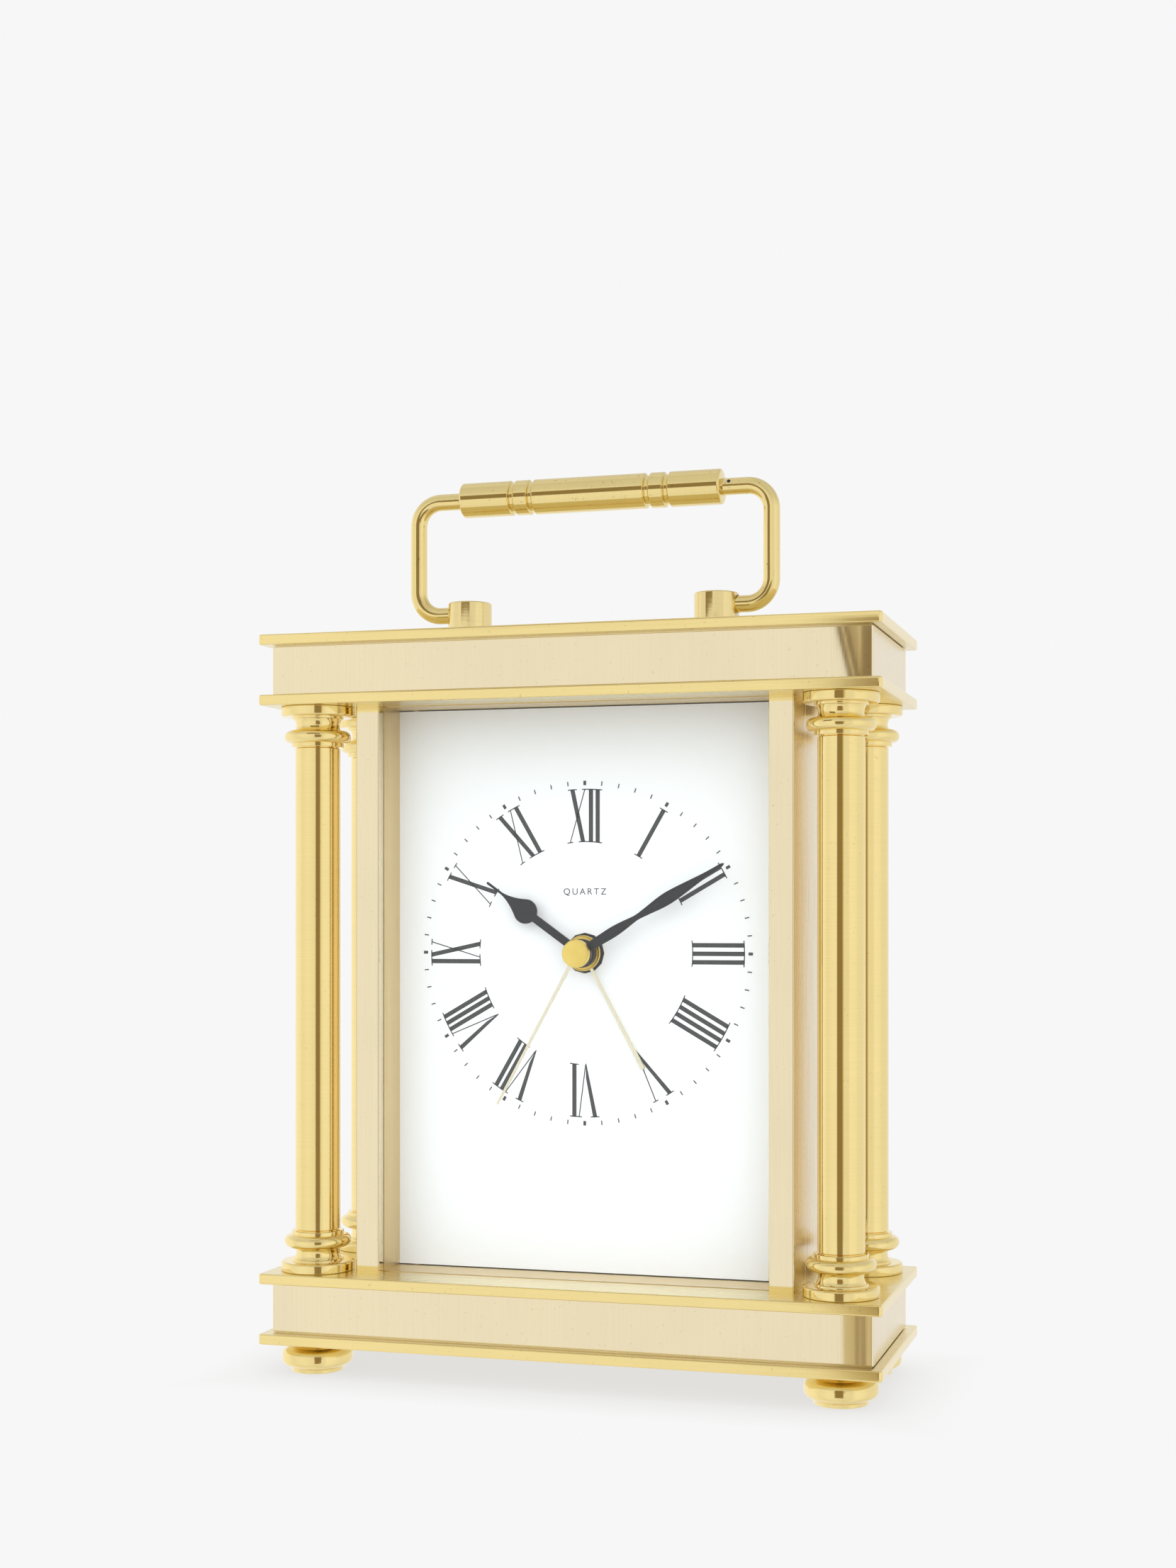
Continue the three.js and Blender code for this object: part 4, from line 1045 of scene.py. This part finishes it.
def battery():
    """Jacket with a wrapped band, crimped ends and the bright nub."""
    low, high = node_box("battery")
    centre = node_middle("battery") * Vector((0, 1, 1))
    radius = (high.z - low.z) / 2
    start, end, shoulder = low.x, high.x, high.x - 1.2
    split = start + 34
    jacket = fillet([(0, start + 0.35, 0), (radius - 1.1, start + 0.35, 0), (radius - 0.9, start, 0.2),
                     (radius, start, 0.5), (radius, split, 0), (0, split, 0)])
    new_piece("battery_jacket", lathe(jacket, 72, centre, ALONG_X), JACKET, "cell", ["battery"])
    band = fillet([(0, split, 0), (radius, split, 0), (radius, shoulder, 0.6),
                   (radius - 1.5, shoulder, 0.2), (radius - 1.8, shoulder - 0.3, 0.1),
                   (0, shoulder - 0.3, 0)])
    new_piece("battery_band", lathe(band, 72, centre, ALONG_X), JACKET_BAND, "cell")
    can = [(0, start + 0.1), (radius - 1.2, start + 0.1), (radius - 1.2, start + 0.4), (0, start + 0.4)]
    ends = lathe(can, 48, centre, ALONG_X)
    nub = fillet([(0, shoulder - 0.35, 0), (4.6, shoulder - 0.35, 0.1), (4.6, shoulder - 0.1, 0.1),
                  (2.75, shoulder - 0.1, 0.2), (2.7, end, 0.4), (0, end, 0)])
    lathe(nub, 48, centre, ALONG_X, bm=ends)
    new_piece("battery_ends", ends, STEEL, "cell")


def contact_spring():
    """The negative contact: a blade with a conical coil of wire."""
    low, high = node_box("contact_negative")
    _, y, z = node_middle("battery")
    bm = slab(rectangle(low.y, high.y, low.z, high.z, 0.6), low.x, low.x + 0.4, 0.06,
              turn=Matrix(((0, 0, 1), (1, 0, 0), (0, 1, 0))))
    turns, wire = 3.5, 0.22
    length = high.x - low.x - 0.4 - wire
    path = []
    for step in range(71):
        share = step / 70
        angle = 2 * math.pi * turns * share
        reach = 3.6 - 1.7 * share
        path.append((low.x + 0.4 + wire * 0.8 + (length - wire * 0.8) * share,
                     y + reach * math.cos(angle), z + reach * math.sin(angle)))
    rod(bm, path, wire, 8)
    new_piece("contact_spring", bm, STEEL, "case", ["contact_negative"])


def coil_winding():
    """Bobbin with bright end flanges and ribbed copper turns."""
    low, high = node_box("coil")
    centre = node_middle("coil") * Vector((0, 1, 1))
    radius = (high.z - low.z) / 2
    flange = 0.8
    profile = [(0, low.x + flange)]
    turns = 26
    span = high.x - low.x - 2 * flange
    for step in range(turns * 2 + 1):
        ridge = 1.8 if step % 2 else 1.72
        profile.append((ridge, low.x + flange + span * step / (turns * 2)))
    profile.append((0, high.x - flange))
    new_piece("coil_turns", lathe(profile, 40, centre, ALONG_X), COPPER, "case", ["coil"])
    ends = bmesh.new()
    for start in (low.x, high.x - flange):
        lathe(fillet([(0, start, 0), (radius, start, 0.15), (radius, start + flange, 0.15),
                      (0, start + flange, 0)], 3), 40, centre, ALONG_X, bm=ends)
    new_piece("coil_flanges", ends, ACETAL, "case")


def kept_nodes():
    """CAD nodes that stay, with a finish and a fine bevel where they have edges to see."""
    groups = (
        (ENAMEL, 0.0, ("dial_plate",)), (BRASS_SATIN, 0.15, ("rear_panel",)),
        (PLASTIC, 0.15, ("movement_housing", "movement_cover")), (PLASTIC, 0.2, ("sounder",)),
        (PLASTIC, 0.0, ("time_set_knob", "alarm_set_knob")),
        (ACETAL, 0.04, ("train_plate", "alarm_wheel", "hour_wheel", "motion_wheel", "centre_wheel",
                        "third_wheel", "second_wheel", "step_wheel")),
        (STEEL, 0.03, ("cannon_pinion", "rotor", "stator", "contact_positive")),
        (BOARD, 0.05, ("circuit_board",)),
    )
    for material, width, nodes in groups:
        for node in nodes:
            soften(node, material, width)


# ---- stage

SKY = 2.0
PAPER = 0.93
PAPER_GLOW = 0.68
SHADOW_REACH = 14
STRIPS_Y = -258
HANDLE_CARD_Y = -112
CAMERA_PLACE = (0.119, -0.379, 0.0886)
CAMERA_TURN = 15.57


def flat_card(name, left, right, made):
    """A flat sheet between two edges."""
    bm = bmesh.new()
    sides = [[bm.verts.new(point) for point in side] for side in (left, right)]
    for index in range(len(left) - 1):
        bm.faces.new((sides[0][index], sides[1][index], sides[1][index + 1], sides[0][index + 1]))
    card = new_object(name, to_mesh(name, bm))
    card.data.materials.append(made.material)
    return card


def glowing(name, colour, glow, strength):
    """A dull surface that is lit from within as well."""
    made = Finish(name, colour, 1.0, Specular_IOR_Level=0.0, Emission_Strength=strength,
                  Emission_Color=(*glow, 1))
    made.tint(made.spread(made.noise(4, 2), 0.3, 0.7, 0, 0.2), shade(colour, 0.99))
    return made


def floor():
    """White paper that takes shadows only close round the clock and is evenly bright beyond."""
    reach = 30000
    diffuse = (PAPER - PAPER_GLOW) / SKY
    paper = glowing("paper", (diffuse, diffuse, diffuse), (1, 1, 1), PAPER_GLOW)
    place = paper.node("ShaderNodeTexCoord")
    parts = paper.node("ShaderNodeSeparateXYZ")
    paper.link(place.outputs["Object"], parts.inputs[0])
    beyond = []
    for axis, half in zip("XY", CAD_BOX[1]):
        size = calculate(paper.tree, "ABSOLUTE", parts.outputs[axis])
        beyond.append(calculate(paper.tree, "SUBTRACT", size, half))
    distance = calculate(paper.tree, "MAXIMUM", *beyond)
    far = SHADOW_REACH * MM
    paper.tint(paper.spread(distance, 0, far), (0, 0, 0))
    glow = paper.spread(distance, 0, far, PAPER_GLOW, PAPER)
    paper.link(glow, paper.shader.inputs["Emission Strength"])
    left, right = ([(x, -reach, 0), (x, reach, 0)] for x in (-reach, reach))
    flat_card("floor", left, right, paper).visible_glossy = False


def studio_world():
    """Even white surroundings, a little greyer straight ahead of the clock and overhead."""
    world = bpy.data.worlds.new("studio")
    SCENE.world = world
    world.use_nodes = True
    tree = world.node_tree

    def ramp_over(source, low, high, stops):
        """Greys by a value that runs from low to high."""
        scale = add_node(tree, "ShaderNodeMapRange")
        scale.inputs["From Min"].default_value = low
        scale.inputs["From Max"].default_value = high
        ramp = add_node(tree, "ShaderNodeValToRGB")
        elements = ramp.color_ramp.elements
        while len(elements) < len(stops):
            elements.new(0.5)
        for element, (at, grey) in zip(elements, stops):
            element.position = (at - low) / (high - low)
            element.color = (grey, grey, grey, 1)
        tree.links.new(source, scale.inputs["Value"])
        tree.links.new(scale.outputs["Result"], ramp.inputs["Fac"])
        return ramp.outputs["Color"]

    direction = add_node(tree, "ShaderNodeTexCoord")
    parts = add_node(tree, "ShaderNodeSeparateXYZ")
    tree.links.new(direction.outputs["Generated"], parts.inputs[0])
    ahead = calculate(tree, "MULTIPLY", parts.outputs["Y"], -1)
    bearing = calculate(tree, "ARCTAN2", parts.outputs["X"], ahead)
    # 0 is straight ahead of the dial, positive to the right
    around = ramp_over(calculate(tree, "DEGREES", bearing), -180, 180, AROUND)
    upward = ramp_over(parts.outputs["Z"], -1, 1, UPWARD)
    light = add_node(tree, "ShaderNodeMix", data_type="RGBA", blend_type="MULTIPLY")
    light.inputs["Factor"].default_value = 1
    tree.links.new(around, light.inputs[MIX_A])
    tree.links.new(upward, light.inputs[MIX_B])
    path = add_node(tree, "ShaderNodeLightPath")
    colour = light.outputs[MIX_RESULT]
    for kind, grey in (("Is Diffuse Ray", SKY), ("Is Camera Ray", PAPER)):
        choose = add_node(tree, "ShaderNodeMix", data_type="RGBA", clamp_result=False)
        choose.inputs[MIX_B].default_value = (grey, grey, grey, 1)
        tree.links.new(path.outputs[kind], choose.inputs["Factor"])
        tree.links.new(colour, choose.inputs[MIX_A])
        colour = choose.outputs[MIX_RESULT]
    tree.links.new(colour, tree.nodes["Background"].inputs["Color"])


# Greys by bearing from the dial's own axis, in degrees, and by the height of the direction
AROUND = ((-180, 0.9), (-120, 1.05), (-85, 1.05), (-60, 0.93), (-28, 1.0), (-10, 0.97), (15, 0.9),
          (44, 0.9), (55, 1.02), (80, 1.0), (100, 0.92), (180, 0.9))
UPWARD = ((-1, 0.9), (-0.3, 1.0), (0.25, 1.0), (0.6, 0.78), (1, 0.76))


# Brown strips that the polished faces mirror: left edge, right edge and tone
STRIPS = ((6.3, 7.9, 0.25), (7.9, 8.5, 0.85), (8.5, 10.0, 0.25), (10.0, 12.7, 0.5), (12.7, 14.2, 0.72),
          (14.2, 125, 0.3), (125, 150, 0.72))
LOW_STRIPS = ((8.8, 12.4, 0.68), (12.4, 13.4, 0.3), (13.4, 14.5, 0.6), (14.5, 15.5, 0.3),
              (15.5, 19, 0.75), (19, 125, 0.3))
# Height of each level of the strips and how far the first ones lean aside there
LEVELS = ((-12, 0), (60, 0), (156, 4), (174.5, 0))
LOW_LEVELS = (-70, -12)


def dark_cards():
    """Brown cards near the camera that only reflections see, split by narrow light gaps."""
    bound = STRIPS[-2][0]
    for index, (start, end, tone) in enumerate(STRIPS):
        leans = start < bound
        limit = bound if leans else end
        left, right = ([(min(edge + lean * leans, limit), STRIPS_Y, z) for z, lean in LEVELS]
                       for edge in (start, end))
        hidden_card(f"card_{index}", left, right, tone)
    for index, (start, end, tone) in enumerate(LOW_STRIPS):
        left, right = ([(x, STRIPS_Y, z) for z in LOW_LEVELS] for x in (start, end))
        hidden_card(f"low_card_{index}", left, right, tone)
    left, right = ([(x, HANDLE_CARD_Y, z) for z in (163, 215)] for x in (-80, 12))
    hidden_card("card_handle", left, right, 0.3)


def hidden_card(name, left, right, tone):
    """A card, browner the darker it is, that nothing but reflections can see."""
    glow = (tone, tone * (0.7 + 0.22 * tone), tone * (0.36 + 0.25 * tone))
    card = flat_card(name, left, right, glowing(name, (0, 0, 0), glow, 1.0))
    with_values(card, visible_camera=False, visible_diffuse=False, visible_shadow=False)


def camera():
    data = with_values(bpy.data.cameras.new("camera"), lens=47.25, sensor_width=36, shift_x=-0.0447,
                       shift_y=0.0808, clip_start=0.01)
    eye = new_object("camera", data)
    eye.location = CAMERA_PLACE
    eye.rotation_euler = (math.pi / 2, 0, math.radians(CAMERA_TURN))
    SCENE.camera = eye


def stage():
    SCENE.view_settings.view_transform = "Standard"
    camera()
    floor()
    studio_world()
    dark_cards()


# ---- assembly

stage()
case_plates()
case_blocks()
columns()
case_walls()
front_pane()
reveal_liner()
panel_screws()
handle_posts()
handle_arms()
handle_grip()
pin_hole_painted_shade()
dial_print()
dial_word()
hands()
setting_knobs()
cover_marks()
alarm_switch()
battery()
contact_spring()
coil_winding()
kept_nodes()
